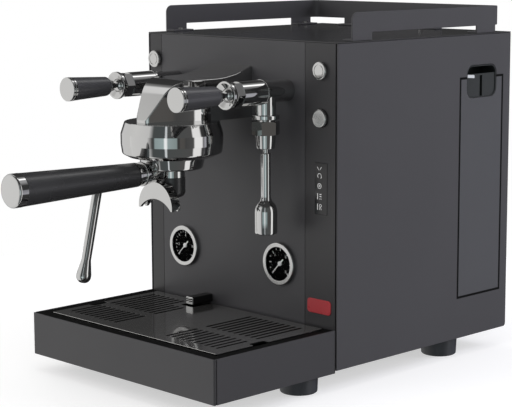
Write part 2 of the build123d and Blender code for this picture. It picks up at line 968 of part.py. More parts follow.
def water_outlet():
    top = neck_end_z - water_tube_length
    low = top - outlet_flare - outlet_length
    nozzle = turned(
        (0, top),
        (water_tube_radius, top),
        (water_tube_radius + 1.4, top - outlet_flare * 0.45, 5),
        (outlet_radius, top - outlet_flare, 5),
        (outlet_radius, low, 1.5),
        (outlet_recess_radius, low),
        (outlet_recess_radius, low + outlet_recess),
        (0, low + outlet_recess),
    )
    return upright(valve_xs["water"], wand_reach) * nozzle


def steam_wand_run():
    """Corner points of the steam wand's tube in the YZ plane under its joint."""
    elbow_z = neck_end_z - steam_elbow_drop
    knee = Vector(0, -steam_forward_run, elbow_z - steam_forward_drop)
    tip = knee + Vector(0, -steam_lower_reach, -steam_lower_drop)
    along = (tip - knee).normalized()
    return [Vector(0, 0, neck_end_z), Vector(0, 0, elbow_z), knee, tip - along * steam_tip_length], along


def steam_wand_tube():
    points, _ = steam_wand_run()
    tube = wand_ball() + pipe(points, steam_tube_radius, steam_bend)
    return upright(valve_xs["steam"], wand_reach) * tube


def steam_wand_tip():
    points, along = steam_wand_run()
    length = steam_tip_length
    bulb = turned(
        (0, 0),
        (steam_tube_radius, 0),
        (steam_tip_radius, length - 1.2 * steam_tip_radius, steam_tip_radius),
        (steam_tip_radius, length, 0.9 * steam_tip_radius),
        (0, length),
    )
    seat = Plane(origin=points[-1], x_dir=(1, 0, 0), z_dir=along)
    return upright(valve_xs["steam"], wand_reach) * (seat * bulb)


# Gauges


def gauge_case(x):
    opening = bezel_radius - bezel_width
    case = turned(
        (0, -gauge_can_depth),
        (gauge_can_radius, -gauge_can_depth),
        (gauge_can_radius, 0),
        (bezel_radius, 0),
        (bezel_radius, bezel_height, 1.2),
        (opening, bezel_height, 0.5),
        (opening, bezel_height - bezel_lip),
        (gauge_well_radius, bezel_height - bezel_lip),
        (gauge_well_radius, -gauge_well),
        (0, -gauge_well),
    )
    bearing = Cylinder(needle_shaft_radius + needle_shaft_gap, 2 * needle_shaft_length)
    return facing(x, gauge_z) * (case - Pos(0, 0, -gauge_well) * bearing)


def gauge_dial(x):
    disc = Pos(0, 0, -gauge_well + dial_thickness / 2) * Cylinder(gauge_well_radius - dial_gap, dial_thickness)
    bearing = Cylinder(needle_shaft_radius + needle_shaft_gap, 4 * gauge_well)
    return facing(x, gauge_z) * (disc - bearing)


def gauge_glass(x):
    front = bezel_height - bezel_lip
    disc = Cylinder(gauge_well_radius - dial_gap, glass_thickness)
    return facing(x, gauge_z, front - glass_thickness / 2) * disc


def gauge_needle(x):
    low = -gauge_well + dial_thickness + needle_rise
    blade = Polygon(
        (-needle_tail, -needle_width),
        (0, -needle_width),
        (0, -needle_width / 2),
        (needle_length, -needle_width / 4),
        (needle_length, needle_width / 4),
        (0, needle_width / 2),
        (0, needle_width),
        (-needle_tail, needle_width),
        align=None,
    )
    needle = Pos(0, 0, low) * extrude(blade, needle_thickness)
    hub_z = low + needle_thickness / 2
    needle += Pos(0, 0, hub_z) * Cylinder(needle_hub_radius, needle_hub_height - needle_rise)
    shaft_end = -gauge_well - needle_shaft_length + 1
    shaft = Cylinder(needle_shaft_radius, hub_z - shaft_end)
    needle += Pos(0, 0, (hub_z + shaft_end) / 2) * shaft
    return facing(x, gauge_z) * Rot(0, 0, needle_rest_angle) * needle


# Drip tray


def tray_shell():
    outer = block(-tray_x, tray_x, tray_y0, tray_y1, tray_z0, tray_z1)
    outer = fillet(outer.edges().filter_by(Axis.Z).group_by(Axis.Y)[0], tray_corner)
    groove_y = tray_y0 + tray_corner
    for side in (-tray_x, tray_x):
        groove = Box(2 * tray_groove_depth, tray_groove, 2 * tray_z1)
        outer -= Pos(side, groove_y + tray_groove / 2, 0) * groove
    inner_x = tray_x - tray_sheet
    inner_y = tray_y0 + tray_sheet
    shell = outer - block(-inner_x, inner_x, inner_y, tray_y1 + 1, tray_z0 - 1, tray_z1 + 1)
    ledge_z1 = pan_top_z - pan_flange
    ledge_z0 = ledge_z1 - tray_sheet
    ledge = block(-inner_x, inner_x, inner_y, tray_y1, ledge_z0, ledge_z1)
    opening_x = inner_x - tray_ledge
    ledge -= block(-opening_x, opening_x, inner_y + tray_ledge, tray_y1 + 1, ledge_z0 - 1, ledge_z1 + 1)
    return shell + ledge


def drip_pan():
    low_z = pan_top_z - pan_flange
    wall = pan_wall
    bottom_z = low_z - pan_depth
    pan = block(-pan_x - wall, pan_x + wall, pan_y0 - wall, pan_y1 + wall, bottom_z, low_z)
    return pan - block(-pan_x, pan_x, pan_y0, pan_y1, bottom_z + wall, low_z + 1)


def pan_rim():
    """The frame that the pan hangs from, with the seat that the grate drops into."""
    rim_x = tray_x - tray_sheet - pan_gap
    rim_y0 = tray_y0 + tray_sheet + pan_gap
    low_z = pan_top_z - pan_flange
    rim = block(-rim_x, rim_x, rim_y0, tray_y1, low_z, pan_top_z)
    rim -= block(-pan_x, pan_x, pan_y0, pan_y1, low_z - 1, pan_top_z + 1)
    gap = grate_gap
    seat_z = grate_top_z - grate_thickness
    return rim - block(-grate_x - gap, grate_x + gap, grate_y0 - gap, grate_y1 + gap, seat_z, pan_top_z + 1)


def drip_grate():
    low_z = grate_top_z - grate_thickness
    grate = block(-grate_x, grate_x, grate_y0, grate_y1, low_z, grate_top_z)
    grate = fillet(grate.edges().filter_by(Axis.Z), grate_thickness)
    through = 3 * grate_thickness
    notch_y0 = panel_y - nozzle_reach - nozzle_notch_gap
    rear_y1 = grate_y1 - rear_slot_inset
    rear_y0 = rear_y1 - rear_slot_length
    front_y0 = grate_y0 + front_slot_inset
    front_y1 = front_y0 + front_slot_length
    for x in slot_xs:
        beside_nozzle = abs(x - nozzle_x) < notch_half + slot_width
        back = min(rear_y1, notch_y0 - nozzle_notch_bar) if beside_nozzle else rear_y1
        for low, high in ((rear_y0, back), (front_y0, front_y1)):
            slot = extrude(SlotOverall(high - low, slot_width, rotation=90), through, both=True)
            grate -= Pos(x, (low + high) / 2, grate_top_z) * slot
    finger_y = panel_y - finger_notch_reach
    finger = RectangleRounded(2 * finger_notch_depth, finger_notch_length, finger_notch_depth / 2)
    for side in (-grate_x, grate_x):
        grate -= Pos(side, finger_y, grate_top_z) * extrude(finger, through, both=True)
    notch = block(
        nozzle_x - notch_half,
        nozzle_x + notch_half,
        notch_y0,
        grate_y1 + 1,
        low_z - 1,
        grate_top_z + 1,
    )
    return grate - notch


def drain_nozzle():
    spout = block(
        -nozzle_width / 2,
        nozzle_width / 2,
        -nozzle_height / 2,
        nozzle_height / 2,
        0,
        nozzle_reach,
    )
    spout = fillet(spout.edges().filter_by(Axis.Z), nozzle_height / 6)
    spout = fillet(spout.edges().group_by(Axis.Z)[-1], nozzle_height / 9)
    end = nozzle_reach - nozzle_front
    bore = Pos(0, 0, end / 2) * Cylinder(nozzle_bore, end)
    # Water leaves through the underside, over the grate's notch.
    bore += Pos(0, -nozzle_height / 2, end - nozzle_bore) * Rot(90, 0, 0) * Cylinder(nozzle_bore, nozzle_height)
    return facing(nozzle_x, nozzle_z) * (spout - bore)


# Water tank


def tank_door():
    gap = door_seam
    door = block(cover_inner_x, half, door_y0 + gap, door_y1 - gap, door_z0 + gap, door_z1 - gap)
    return door - scoop_cutter(0, cover_inner_x - 1, half + 1)


def tank_grip():
    front = half - seam
    pocket = scoop_cutter(pocket_gap, front - pocket_depth, front)
    pocket -= scoop_cutter(pocket_gap + pocket_wall, front - pocket_depth + pocket_wall, front + 1)
    # Fingers reach in above a ledge that closes the lower part of the pocket.
    ledge_x = front - ledge_recess
    low_z = base_z + scoop_bottom
    ledge = block(ledge_x - ledge_thickness, ledge_x, door_y0, door_y1, low_z, low_z + ledge_height)
    slot_y = pocket_slot_width / 2
    slot_z = low_z + ledge_height - pocket_slot_bar
    ledge -= block(ledge_x - 2 * ledge_thickness, ledge_x + 1, door_y - slot_y, door_y + slot_y, low_z, slot_z)
    inside = scoop_cutter(pocket_gap + pocket_wall / 2, front - pocket_depth, front)
    return pocket + (ledge & inside)


def water_tank():
    x0 = tank_x0
    y0 = door_y0 + tank_side_gap
    y1 = door_y1 - tank_side_gap
    wall = tank_wall
    tank = block(x0, cover_inner_x, y0, y1, tank_z0, tank_z1)
    tank = fillet(tank.edges().filter_by(Axis.Z).group_by(Axis.X)[0], 2 * wall)
    inside = block(x0 + wall, cover_inner_x - wall, y0 + wall, y1 - wall, tank_z0 + wall, tank_z1 + 1)
    tank -= fillet(inside.edges().filter_by(Axis.Z).group_by(Axis.X)[0], wall)
    # The pocket hangs from a strap that rises from the tank's floor.
    strap_x1 = half - seam - pocket_depth
    strap_y = scoop_width / 4
    strap_z1 = base_z + scoop_bottom + scoop_height / 2
    return tank + block(strap_x1 - wall, strap_x1, door_y - strap_y, door_y + strap_y, tank_z0 + wall, strap_z1)


def tank_shelf():
    top = tank_z0 - shelf_gap
    x1 = cover_inner_x - seam
    x0 = tank_x0 - shelf_overhang
    shelf = block(x0, x1, door_y0, door_y1, top - shelf_sheet, top)
    shelf += block(x0, x1, door_y0, door_y0 + shelf_sheet, floor_z, top)
    return shelf + block(x0, x1, door_y1 - shelf_sheet, door_y1, floor_z, top)


# Inside


def drum(radius, low, high, corner):
    """A boiler's closed drum about Z, filled through a bore in its upper end."""
    wall = boiler_wall
    inner = radius - wall
    return turned(
        (0, low),
        (radius, low, corner),
        (radius, high, corner),
        (boiler_bore, high),
        (boiler_bore, high - wall),
        (inner, high - wall, corner - wall),
        (inner, low + wall, corner - wall),
        (0, low + wall),
    )


def brew_boiler():
    front = -panel_sheet
    shell = drum(brew_boiler_radius, front - brew_boiler_length, front, brew_boiler_corner)
    shell += turned(
        (boiler_bore, front),
        (boiler_port_radius, front),
        (boiler_port_radius, boiler_port_reach),
        (boiler_bore, boiler_port_reach),
    )
    return facing(group_x, base_z + brew_boiler_level) * shell


def steam_boiler():
    length = steam_boiler_length
    radius = steam_boiler_radius
    shell = drum(radius, -length / 2, length / 2, steam_boiler_corner)
    shell = Pos(0, 0, steam_boiler_z) * Rot(0, 90, 0) * shell
    room = Pos(0, 0, steam_boiler_z) * Rot(0, 90, 0) * Cylinder(radius - boiler_wall / 2, length)
    leg_z = steam_boiler_z - radius / 2
    for side in (-1, 1):
        middle = side * (length / 2 - boiler_leg_inset)
        leg = Pos(middle, 0, (leg_z + floor_z) / 2) * Box(boiler_leg_width, boiler_leg_length, leg_z - floor_z)
        shell += leg - room
    for x in valve_xs.values():
        height = radius + pipe_boss_height
        boss = Cylinder(pipe_boss_radius, height, align=(Align.CENTER, Align.CENTER, Align.MIN))
        shell += Pos(x - group_x, 0, steam_boiler_z) * boss - room
    return Pos(group_x, steam_boiler_y, 0) * shell


def boiler_pipes():
    pipes = []
    boss_z = steam_boiler_z + steam_boiler_radius + pipe_boss_height
    for x in valve_xs.values():
        start = (x, panel_y + valve_tail_length, valve_z)
        corner = (x, steam_boiler_y, valve_z)
        end = (x, steam_boiler_y, boss_z)
        pipes.append(pipe([start, corner, end], pipe_radius, pipe_bend))
    return group_of(pipes)


def pump():
    motor = turned(
        (0, -pump_length / 2),
        (pump_radius * 0.6, -pump_length / 2, 3),
        (pump_radius * 0.6, -pump_length / 4),
        (pump_radius, -pump_length / 4, 4),
        (pump_radius, pump_length / 2, 4),
        (0, pump_length / 2),
    )
    centre_z = floor_z + pump_radius + pump_foot_width / 8
    motor = Pos(0, 0, centre_z) * Rot(90, 0, 0) * motor
    foot = Box(pump_foot_width, pump_length / 2, centre_z - floor_z)
    motor += Pos(0, -pump_length / 8, (centre_z + floor_z) / 2) * foot
    return Pos(group_x + pump_offset, panel_y + pump_depth + pump_length / 4, 0) * motor


def control_box():
    x0 = control_side_gap - cover_inner_x
    x1 = nozzle_x - solenoid_width / 2 - control_valve_gap
    y0 = panel_y + control_front
    box = block(x0, x1, y0, y0 + control_depth, floor_z, floor_z + control_height)
    return fillet(box.edges().filter_by(Axis.Z), box_corner)


def solenoid_valve():
    y0 = panel_y + panel_sheet
    coil = block(
        nozzle_x - solenoid_width / 2,
        nozzle_x + solenoid_width / 2,
        y0,
        y0 + solenoid_depth,
        floor_z,
        floor_z + solenoid_height,
    )
    return fillet(coil.edges().filter_by(Axis.Z).group_by(Axis.Y)[-1], box_corner)


# Levels and places that several pieces share
bell_z = base_z + bell_bottom
bell_top = bell_z + bell_height
neck_slope = math.atan2(neck_shoulder_height - neck_nose_lip, neck_nose_reach + 1 - neck_shoulder_reach)
neck_crown_rise = neck_height - neck_shoulder_height
neck_reach_of_crown = neck_shoulder_reach - neck_crown_rise / math.tan(neck_slope / 2)
filter_rim_z = bell_top - bell_ceiling - gasket_thickness - seal_gap - basket_wall
handle_z = base_z + handle_level
boss_front = filter_radius + 0.5
handle_cap_start = handle_reach - group_reach - handle_cap_length
unlock_angle = -45
collar_z = base_z + collar_level
nut_z = collar_z - wand_hex_height
cone_z = nut_z - cone_height
wand_ball_z = cone_z + wand_ball_rise
neck_end_z = cone_z - wand_neck_length
cap_left_x = cap_side_inset - half
rail_x = half - rail_inset
rail_y0 = panel_y + rail_front
rail_y1 = rear_y - rail_rear_inset
rear_tab_y1 = rail_y1 - rear_tab_inset
rear_tab_y0 = rear_tab_y1 - rear_tab_length
rail_tabs = ((rail_y0, rail_y0 + front_tab_length), (rear_tab_y0, rear_tab_y1))
back_tab_x0 = back_tab_offset - back_tab_width / 2
back_tab_x1 = back_tab_offset + back_tab_width / 2
tab_screw_x = rail_x - rail_sheet - tab_foot / 2
back_screw_y = rail_y1 - rail_sheet - tab_foot / 2
rail_screw_places = [(x, (low + high) / 2) for low, high in rail_tabs for x in (-tab_screw_x, tab_screw_x)]
rail_screw_places += [(back_tab_offset + side * back_tab_width / 3, back_screw_y) for side in (-1, 1)]
rear_screw_x = cover_inner_x - rear_screw_edge
rear_screw_zs = (floor_z + rear_screw_edge, (floor_z + roof_z) / 2, roof_z - rear_screw_edge)
rear_screw_places = [(x, z) for x in (-rear_screw_x, rear_screw_x) for z in rear_screw_zs]
inlet_x = inlet_side_inset - cover_inner_x
tank_x0 = inlet_x + inlet_width / 2 - inlet_wall + tank_inlet_gap
tray_x = half - tray_side_inset
tray_y0 = panel_y - tray_reach
tray_y1 = panel_y - tray_back_gap
tray_z0 = base_z + tray_bottom
tray_z1 = base_z + tray_top
pan_top_z = tray_z1 - pan_flange_drop
grate_top_z = tray_z1 + grate_proud
grate_x = tray_x - grate_side_inset
grate_y0 = tray_y0 + grate_front_inset
grate_y1 = tray_y1 - grate_back_inset
pan_x = grate_x - grate_ledge
pan_y0 = grate_y0 + grate_ledge
pan_y1 = grate_y1 - grate_ledge
slot_pitch = (slot_field - slot_width) / (slot_count - 1)
left_slot_x = left_slot_inset + slot_width / 2 - grate_x
right_slot_x = grate_x - right_slot_inset - slot_width / 2
slot_xs = [left_slot_x + index * slot_pitch for index in range(slot_count)]
slot_xs += [right_slot_x - index * slot_pitch for index in range(slot_count)]
nozzle_x = group_x + nozzle_offset
nozzle_z = base_z + nozzle_level + nozzle_height / 2
notch_half = nozzle_width / 2 + nozzle_notch_gap
door_y1 = rear_y - door_rear_inset
door_y0 = door_y1 - door_depth
door_y = (door_y0 + door_y1) / 2
door_z0 = base_z + door_bottom
door_z1 = door_z0 + door_height
tank_z0 = door_z0 + tank_side_gap
tank_z1 = base_z + scoop_bottom - tank_top_gap
steam_boiler_y = panel_y + steam_boiler_depth
steam_boiler_z = base_z + steam_boiler_level

nodes = {
    "chassis_base": chassis_base(),
    "feet": feet(),
    "front_panel": front_panel(),
    "left_front_column": left_front_column(),
    "right_front_column": right_front_column(),
    "left_side_cover": left_side_cover(),
    "right_side_cover": right_side_cover(),
    "rear_panel": rear_panel(),
    "top_plate": top_plate(),
    "cup_rail": cup_rail(),
    "casing_screws": casing_screws(),
    "panel_cap_screws": panel_cap_screws(),
    "display_window": display_window(),
    "blank_plate": blank_plate(),
    "power_inlet": power_inlet(),
    "power_button": power_button(),
    "group_neck": group_neck(),
    "group_bell": group_bell(),
    "group_gasket": group_gasket(),
    "shower_screen": shower_screen(),
    "portafilter_body": portafilter_body(),
    "filter_basket": filter_basket(),
    "portafilter_ferrule": portafilter_ferrule(),
    "portafilter_grip": portafilter_grip(),
    "portafilter_cap": portafilter_cap(),
    "portafilter_spout": portafilter_spout(),
    "valve_cups": group_of([valve_cup(x) for x in valve_xs.values()]),
    "wand_nuts": group_of([wand_nut(x) for x in valve_xs.values()]),
    "water_wand_tube": water_wand_tube(),
    "water_outlet": water_outlet(),
    "steam_wand_tube": steam_wand_tube(),
    "steam_wand_tip": steam_wand_tip(),
    "gauge_cases": group_of([gauge_case(x) for x in gauge_xs.values()]),
    "gauge_dials": group_of([gauge_dial(x) for x in gauge_xs.values()]),
    "gauge_glasses": group_of([gauge_glass(x) for x in gauge_xs.values()]),
    "tray_shell": tray_shell(),
    "drip_pan": drip_pan(),
    "pan_rim": pan_rim(),
    "drip_grate": drip_grate(),
    "drain_nozzle": drain_nozzle(),
    "tank_door": tank_door(),
    "tank_grip": tank_grip(),
    "water_tank": water_tank(),
    "tank_shelf": tank_shelf(),
    "brew_boiler": brew_boiler(),
    "steam_boiler": steam_boiler(),
    "boiler_pipes": boiler_pipes(),
    "pump": pump(),
    "control_box": control_box(),
    "solenoid_valve": solenoid_valve(),
}
for name, x in valve_xs.items():
    nodes[f"{name}_valve_body"] = valve_body(x)
    nodes[f"{name}_lever_shaft"] = lever_shaft(x)
    nodes[f"{name}_lever_grip"] = lever_grip(x)
    nodes[f"{name}_lever_cap"] = lever_cap(x)
for name, x in gauge_xs.items():
    nodes[f"{name}_gauge_needle"] = gauge_needle(x)

os.makedirs("parts", exist_ok=True)
for name, piece in nodes.items():
    export_step(piece, f"parts/{name}.step")
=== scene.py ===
import json
import math

import bmesh
import bpy
import numpy as np
from mathutils import Matrix, Vector
from mathutils.geometry import delaunay_2d_cdt


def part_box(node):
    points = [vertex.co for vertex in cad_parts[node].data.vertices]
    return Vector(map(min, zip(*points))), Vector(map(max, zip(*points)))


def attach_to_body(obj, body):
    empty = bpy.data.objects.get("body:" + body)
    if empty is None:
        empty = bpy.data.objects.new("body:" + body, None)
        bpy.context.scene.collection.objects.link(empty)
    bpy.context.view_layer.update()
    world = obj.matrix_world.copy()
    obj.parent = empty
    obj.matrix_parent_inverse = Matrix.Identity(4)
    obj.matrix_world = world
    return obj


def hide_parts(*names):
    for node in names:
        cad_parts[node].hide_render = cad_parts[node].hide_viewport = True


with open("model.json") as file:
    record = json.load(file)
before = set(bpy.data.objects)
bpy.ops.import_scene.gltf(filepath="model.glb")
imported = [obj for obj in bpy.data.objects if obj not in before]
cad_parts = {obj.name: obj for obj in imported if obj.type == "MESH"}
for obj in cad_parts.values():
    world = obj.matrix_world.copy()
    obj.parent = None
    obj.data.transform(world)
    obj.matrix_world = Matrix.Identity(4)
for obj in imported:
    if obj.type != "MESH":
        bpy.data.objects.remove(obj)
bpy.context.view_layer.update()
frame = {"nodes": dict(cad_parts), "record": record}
nodes = frame["nodes"]
record = frame["record"]
scene = bpy.context.scene
slotOfNode = {entry["node"]: entry["material_slot"] for entry in record["subparts"]}
bodyOfNode = {}
for body, members in record["behaviour"]["bodies"].items():
    bodyOfNode.update(dict.fromkeys(members, body))
mm = 0.001
print("frame loaded:", len(nodes), "nodes")


# Camera at the photograph's place: azimuth from the front towards the right, in degrees
camera = {
    "place": (1.28793, -1.21660, 0.47027),
    "azimuth": 45.521,
    "elevation": 8.669,
    "roll": -0.164,
    "lens": 113.755,
    "sensor": 36.0,
    "shift": (-0.02227, -0.02586),
    "farEnd": 50,
}


def addPiece(name, data):
    piece = bpy.data.objects.new(name, data)
    scene.collection.objects.link(piece)
    return piece


def turned(degrees, axis):
    return Matrix.Rotation(math.radians(degrees), 4, axis)


def placeCamera(values):
    data = bpy.data.cameras.new("studioCamera")
    data.lens = values["lens"]
    data.sensor_width = values["sensor"]
    data.shift_x, data.shift_y = values["shift"]
    data.clip_end = values["farEnd"]
    aim = turned(values["azimuth"], "Z") @ turned(90 - values["elevation"], "X")
    scene.camera = addPiece("studioCamera", data)
    scene.camera.matrix_world = (
        Matrix.Translation(values["place"]) @ aim @ turned(values["roll"], "Z")
    )


placeCamera(camera)
scene.view_settings.view_transform = "Standard"


# Node trees: an input takes its kind from its first value, and None stands for geometry
def socketKind(value):
    if value is None:
        return "NodeSocketGeometry"
    if isinstance(value, (int, float)):
        return "NodeSocketInt" if isinstance(value, int) else "NodeSocketFloat"
    return "NodeSocketColor" if len(value) == 4 else "NodeSocketVector"


def newGroup(name, treeKind, inputs, output, outputKind):
    tree = bpy.data.node_groups.new(name, treeKind)
    for label, value in inputs.items():
        socket = tree.interface.new_socket(label, in_out="INPUT", socket_type=socketKind(value))
        if value is not None:
            socket.default_value = value
    tree.interface.new_socket(output, in_out="OUTPUT", socket_type=outputKind)
    return tree, tree.nodes.new("NodeGroupInput").outputs


def closeGroup(tree, result):
    tree.links.new(result, tree.nodes.new("NodeGroupOutput").inputs[0])
    return tree


def feed(tree, socket, value):
    if isinstance(value, bpy.types.NodeSocket):
        tree.links.new(value, socket)
    else:
        socket.default_value = value


def feedAll(tree, node, **values):
    for label, value in values.items():
        feed(tree, node.inputs[label.replace("_", " ")], value)


def addNode(tree, kind, settings=None, **links):
    node = tree.nodes.new(kind)
    for key, value in (settings or {}).items():
        setattr(node, key, value)
    feedAll(tree, node, **links)
    return node


def addStep(tree, kind, settings=None, **links):
    return addNode(tree, kind, settings, **links).outputs[0]


def addInOrder(tree, kind, settings, *values):
    node = addNode(tree, kind, settings)
    for socket, value in zip(node.inputs, values):
        feed(tree, socket, value)
    return node.outputs


def mathNode(tree, operation, *values):
    return addInOrder(tree, "ShaderNodeMath", {"operation": operation}, *values)[0]


def ranged(tree, value, start, end, low=0.0, high=1.0):
    ends = {"From_Min": start, "From_Max": end, "To_Min": low, "To_Max": high}
    return addStep(tree, "ShaderNodeMapRange", Value=value, **ends)


# the Mix node's colour sockets go by number, because their names repeat
mixColors = {"first": 6, "second": 7, "result": 2}


def blended(tree, factor, first, second):
    node = addNode(tree, "ShaderNodeMix", {"data_type": "RGBA"}, Factor=factor)
    feed(tree, node.inputs[mixColors["first"]], first)
    feed(tree, node.inputs[mixColors["second"]], second)
    return node.outputs[mixColors["result"]]


# Shared shader effects
def newEffect(name, inputs, output, outputKind="NodeSocketFloat"):
    inputs = {"Vector": (0, 0, 0), **inputs}
    return newGroup(name, "ShaderNodeTree", inputs, output, outputKind)


def noiseOf(tree, start, **settings):
    return addStep(tree, "ShaderNodeTexNoise", Vector=start["Vector"], **settings)


def makeGrainGroup():
    inputs = {"Scale": 1000.0, "Depth": 0.1}
    tree, start = newEffect("surfaceGrain", inputs, "Normal", "NodeSocketVector")
    noise = noiseOf(tree, start, Scale=start["Scale"], Detail=3)
    bump = addStep(tree, "ShaderNodeBump", Distance=0.0004, Strength=start["Depth"], Height=noise)
    return closeGroup(tree, bump)


def makeMottleGroup():
    inputs = {"Color": (0.5, 0.5, 0.5, 1), "Scale": 20.0, "Spread": 0.1}
    tree, start = newEffect("colourMottle", inputs, "Color", "NodeSocketColor")
    noise = noiseOf(tree, start, Scale=start["Scale"], Detail=5)
    centred = mathNode(tree, "SUBTRACT", noise, 0.5)
    gain = mathNode(tree, "MULTIPLY_ADD", centred, start["Spread"], 1.0)
    scaled = addNode(tree, "ShaderNodeVectorMath", {"operation": "SCALE"}, Scale=gain)
    tree.links.new(start["Color"], scaled.inputs[0])
    return closeGroup(tree, scaled.outputs[0])


def makeHazeGroup():
    inputs = {"Scale": 15.0, "Low": 0.05, "High": 0.12}
    tree, start = newEffect("roughnessHaze", inputs, "Roughness")
    noise = noiseOf(tree, start, Scale=start["Scale"], Detail=6, Distortion=0.4)
    noiseLow, noiseHigh = 0.3, 0.7
    spread = ranged(tree, noise, noiseLow, noiseHigh, start["Low"], start["High"])
    return closeGroup(tree, spread)


# Painted highlight: a ragged mask along the front edge, where a bright bare-metal strip stands in
# for a highlight line
def makeBrightEdgeGroup():
    tree, start = newEffect("brightFrontEdge", {"Front": 0.0, "Width": 0.001}, "Mask")
    place = addNode(tree, "ShaderNodeSeparateXYZ", Vector=start["Vector"])
    noise = noiseOf(tree, start, Scale=60)
    reach = mathNode(tree, "MULTIPLY_ADD", noise, start["Width"], start["Front"])
    return closeGroup(tree, mathNode(tree, "LESS_THAN", place.outputs["Y"], reach))


# Painted shade: 1 past a level along an axis, 0 short of it, where the colour is painted near-black
def makeShadeMaskGroup():
    tree, start = newEffect("cutWalls", {"Axis": (0, 0, 1), "Level": 0.0}, "Mask")
    product = {"operation": "DOT_PRODUCT"}
    along = addInOrder(tree, "ShaderNodeVectorMath", product, start["Vector"], start["Axis"])
    return closeGroup(tree, mathNode(tree, "GREATER_THAN", along["Value"], start["Level"]))


effects = {
    "cut": makeShadeMaskGroup(),
    "grain": makeGrainGroup(),
    "mottle": makeMottleGroup(),
    "haze": makeHazeGroup(),
    "edgeHighlight": makeBrightEdgeGroup(),
}


# One dictionary of values for each finish, on top of what paints, chromes and blacks share
paint = {"rough": (0.38, 0.45), "haze": 9, "mottle": (7, 0.1), "grain": (1600, 0.1)}
chrome = {
    "color": (0.56, 0.556, 0.55),
    "metallic": 1,
    "rough": (0.025, 0.065),
    "haze": 22,
    "mottle": (30, 0.05),
}
black = {"haze": 25, "mottle": (30, 0.2), "grain": (1100, 0.1)}
finishes = {
    "casingPaint": {**paint, "color": (0.054, 0.053, 0.057)},
    # painted light: a lighter copy of the casing paint for the tank door
    "litDoorPaint": {**paint, "color": (0.066, 0.067, 0.072), "mottle": (7, 0.08)},
    # painted shade: a darker copy of the casing paint for the tray
    "shadedTrayPaint": {**paint, "color": (0.042, 0.041, 0.044)},
    "topPaint": {
        **paint, "color": (0.03, 0.03, 0.031), "rough": (0.1, 0.17), "grain": (1600, 0.03)
    },
    "columnPaint": {**paint, "color": (0.031, 0.03, 0.032), "rough": (0.36, 0.42)},
    "gratePaint": {
        "color": (0.05, 0.049, 0.048),
        "coat": 0.8,
        "rough": (0.15, 0.21),
        "haze": 14,
        "mottle": (12, 0.12),
        "grain": (1500, 0.02),
        # painted highlight: a bright bare-metal strip along the grate's front edge
        "edgeHighlight": {"front": -0.1549, "width": 0.001, "color": (0.62, 0.61, 0.6, 1)},
        # painted shade: the slot walls below the top face are near-black
        "cut": {"axis": (0, 0, 1), "level": 0.066, "color": (0.003, 0.003, 0.003, 1), "rough": 1},
    },
    "polishedChrome": chrome,
    # painted shade: the drain nozzle's body behind its front end is near-black
    "nozzleChromeShaded": {
        **chrome,
        "cut": {
            "axis": (0, -1, 0), "level": 0.026, "color": (0.006, 0.006, 0.006, 1), "rough": 0.35
        },
    },
    "bezelChrome": {**chrome, "rough": (0.16, 0.24), "haze": 40, "mottle": (60, 0.1)},
    "brushedSteel": {
        "color": (0.5, 0.49, 0.48),
        "metallic": 1,
        "rough": (0.24, 0.36),
        "haze": 60,
        "mottle": (40, 0.12),
        "grain": (900, 0.06),
    },
    "gripBlack": {
        **black, "color": (0.034, 0.034, 0.035), "rough": (0.22, 0.3), "grain": (1300, 0.1)
    },
    # painted highlight: a lighter copy of gripBlack for the lever grips, for their brighter sheen
    "litLeverBlack": {
        **black, "color": (0.054, 0.054, 0.057), "rough": (0.2, 0.27), "grain": (1300, 0.1)
    },
    "mouldedBlack": {
        **black, "color": (0.006, 0.006, 0.007), "rough": (0.42, 0.55), "grain": (1100, 0.16)
    },
    "rimBlack": {**black, "color": (0.003, 0.003, 0.003), "rough": (0.5, 0.6), "specular": 0.12},
    "pocketBlack": {
        **black, "color": (0.018, 0.021, 0.021), "rough": (0.34, 0.42), "mottle": (30, 0.15)
    },
    "footRubber": {
        "color": (0.038, 0.041, 0.047),
        "rough": (0.4, 0.52),
        "haze": 40,
        "mottle": (40, 0.25),
        "grain": (900, 0.2),
    },
    "displayGlass": {
        "color": (0.007, 0.006, 0.007), "rough": (0.1, 0.16), "haze": 30, "mottle": (30, 0.2)
    },
    "dialBlack": {
        "color": (0.002, 0.002, 0.002),
        "rough": (0.55, 0.65),
        "specular": 0,
        "haze": 60,
        "mottle": (50, 0.2),
    },
    "needleWhite": {
        "color": (0.88, 0.88, 0.87), "rough": (0.38, 0.45), "haze": 80, "mottle": (80, 0.04)
    },
    "plateEnamel": {
        "color": (0.44, 0.042, 0.05), "rough": (0.25, 0.34), "haze": 60, "mottle": (60, 0.15)
    },
    # the tank's pale plastic, also used for the strip on the pocket's ledge that paints a highlight
    "tankPlastic": {
        "color": (0.62, 0.64, 0.65), "rough": (0.22, 0.32), "haze": 15, "mottle": (10, 0.08)
    },
    "plainBrass": {
        "color": (0.62, 0.4, 0.18),
        "metallic": 1,
        "rough": (0.22, 0.38),
        "haze": 30,
        "mottle": (25, 0.2),
    },
    "pumpPaint": {
        "color": (0.1, 0.1, 0.11),
        "rough": (0.4, 0.5),
        "haze": 20,
        "mottle": (15, 0.15),
        "grain": (800, 0.15),
    },
}
gaugeGlass = {"color": (0.97, 0.98, 0.98, 1), "ior": 1.05, "rough": (0, 0.006), "haze": 40}


def newMaterial(name):
    material = bpy.data.materials.new(name)
    material.use_nodes = True
    tree = material.node_tree
    return material, tree, tree.nodes["Principled BSDF"]


def objectPlace(tree):
    return addNode(tree, "ShaderNodeTexCoord").outputs["Object"]


def addEffect(tree, place, kind, **settings):
    group = {"node_tree": effects[kind]}
    return addStep(tree, "ShaderNodeGroup", group, Vector=place, **settings)


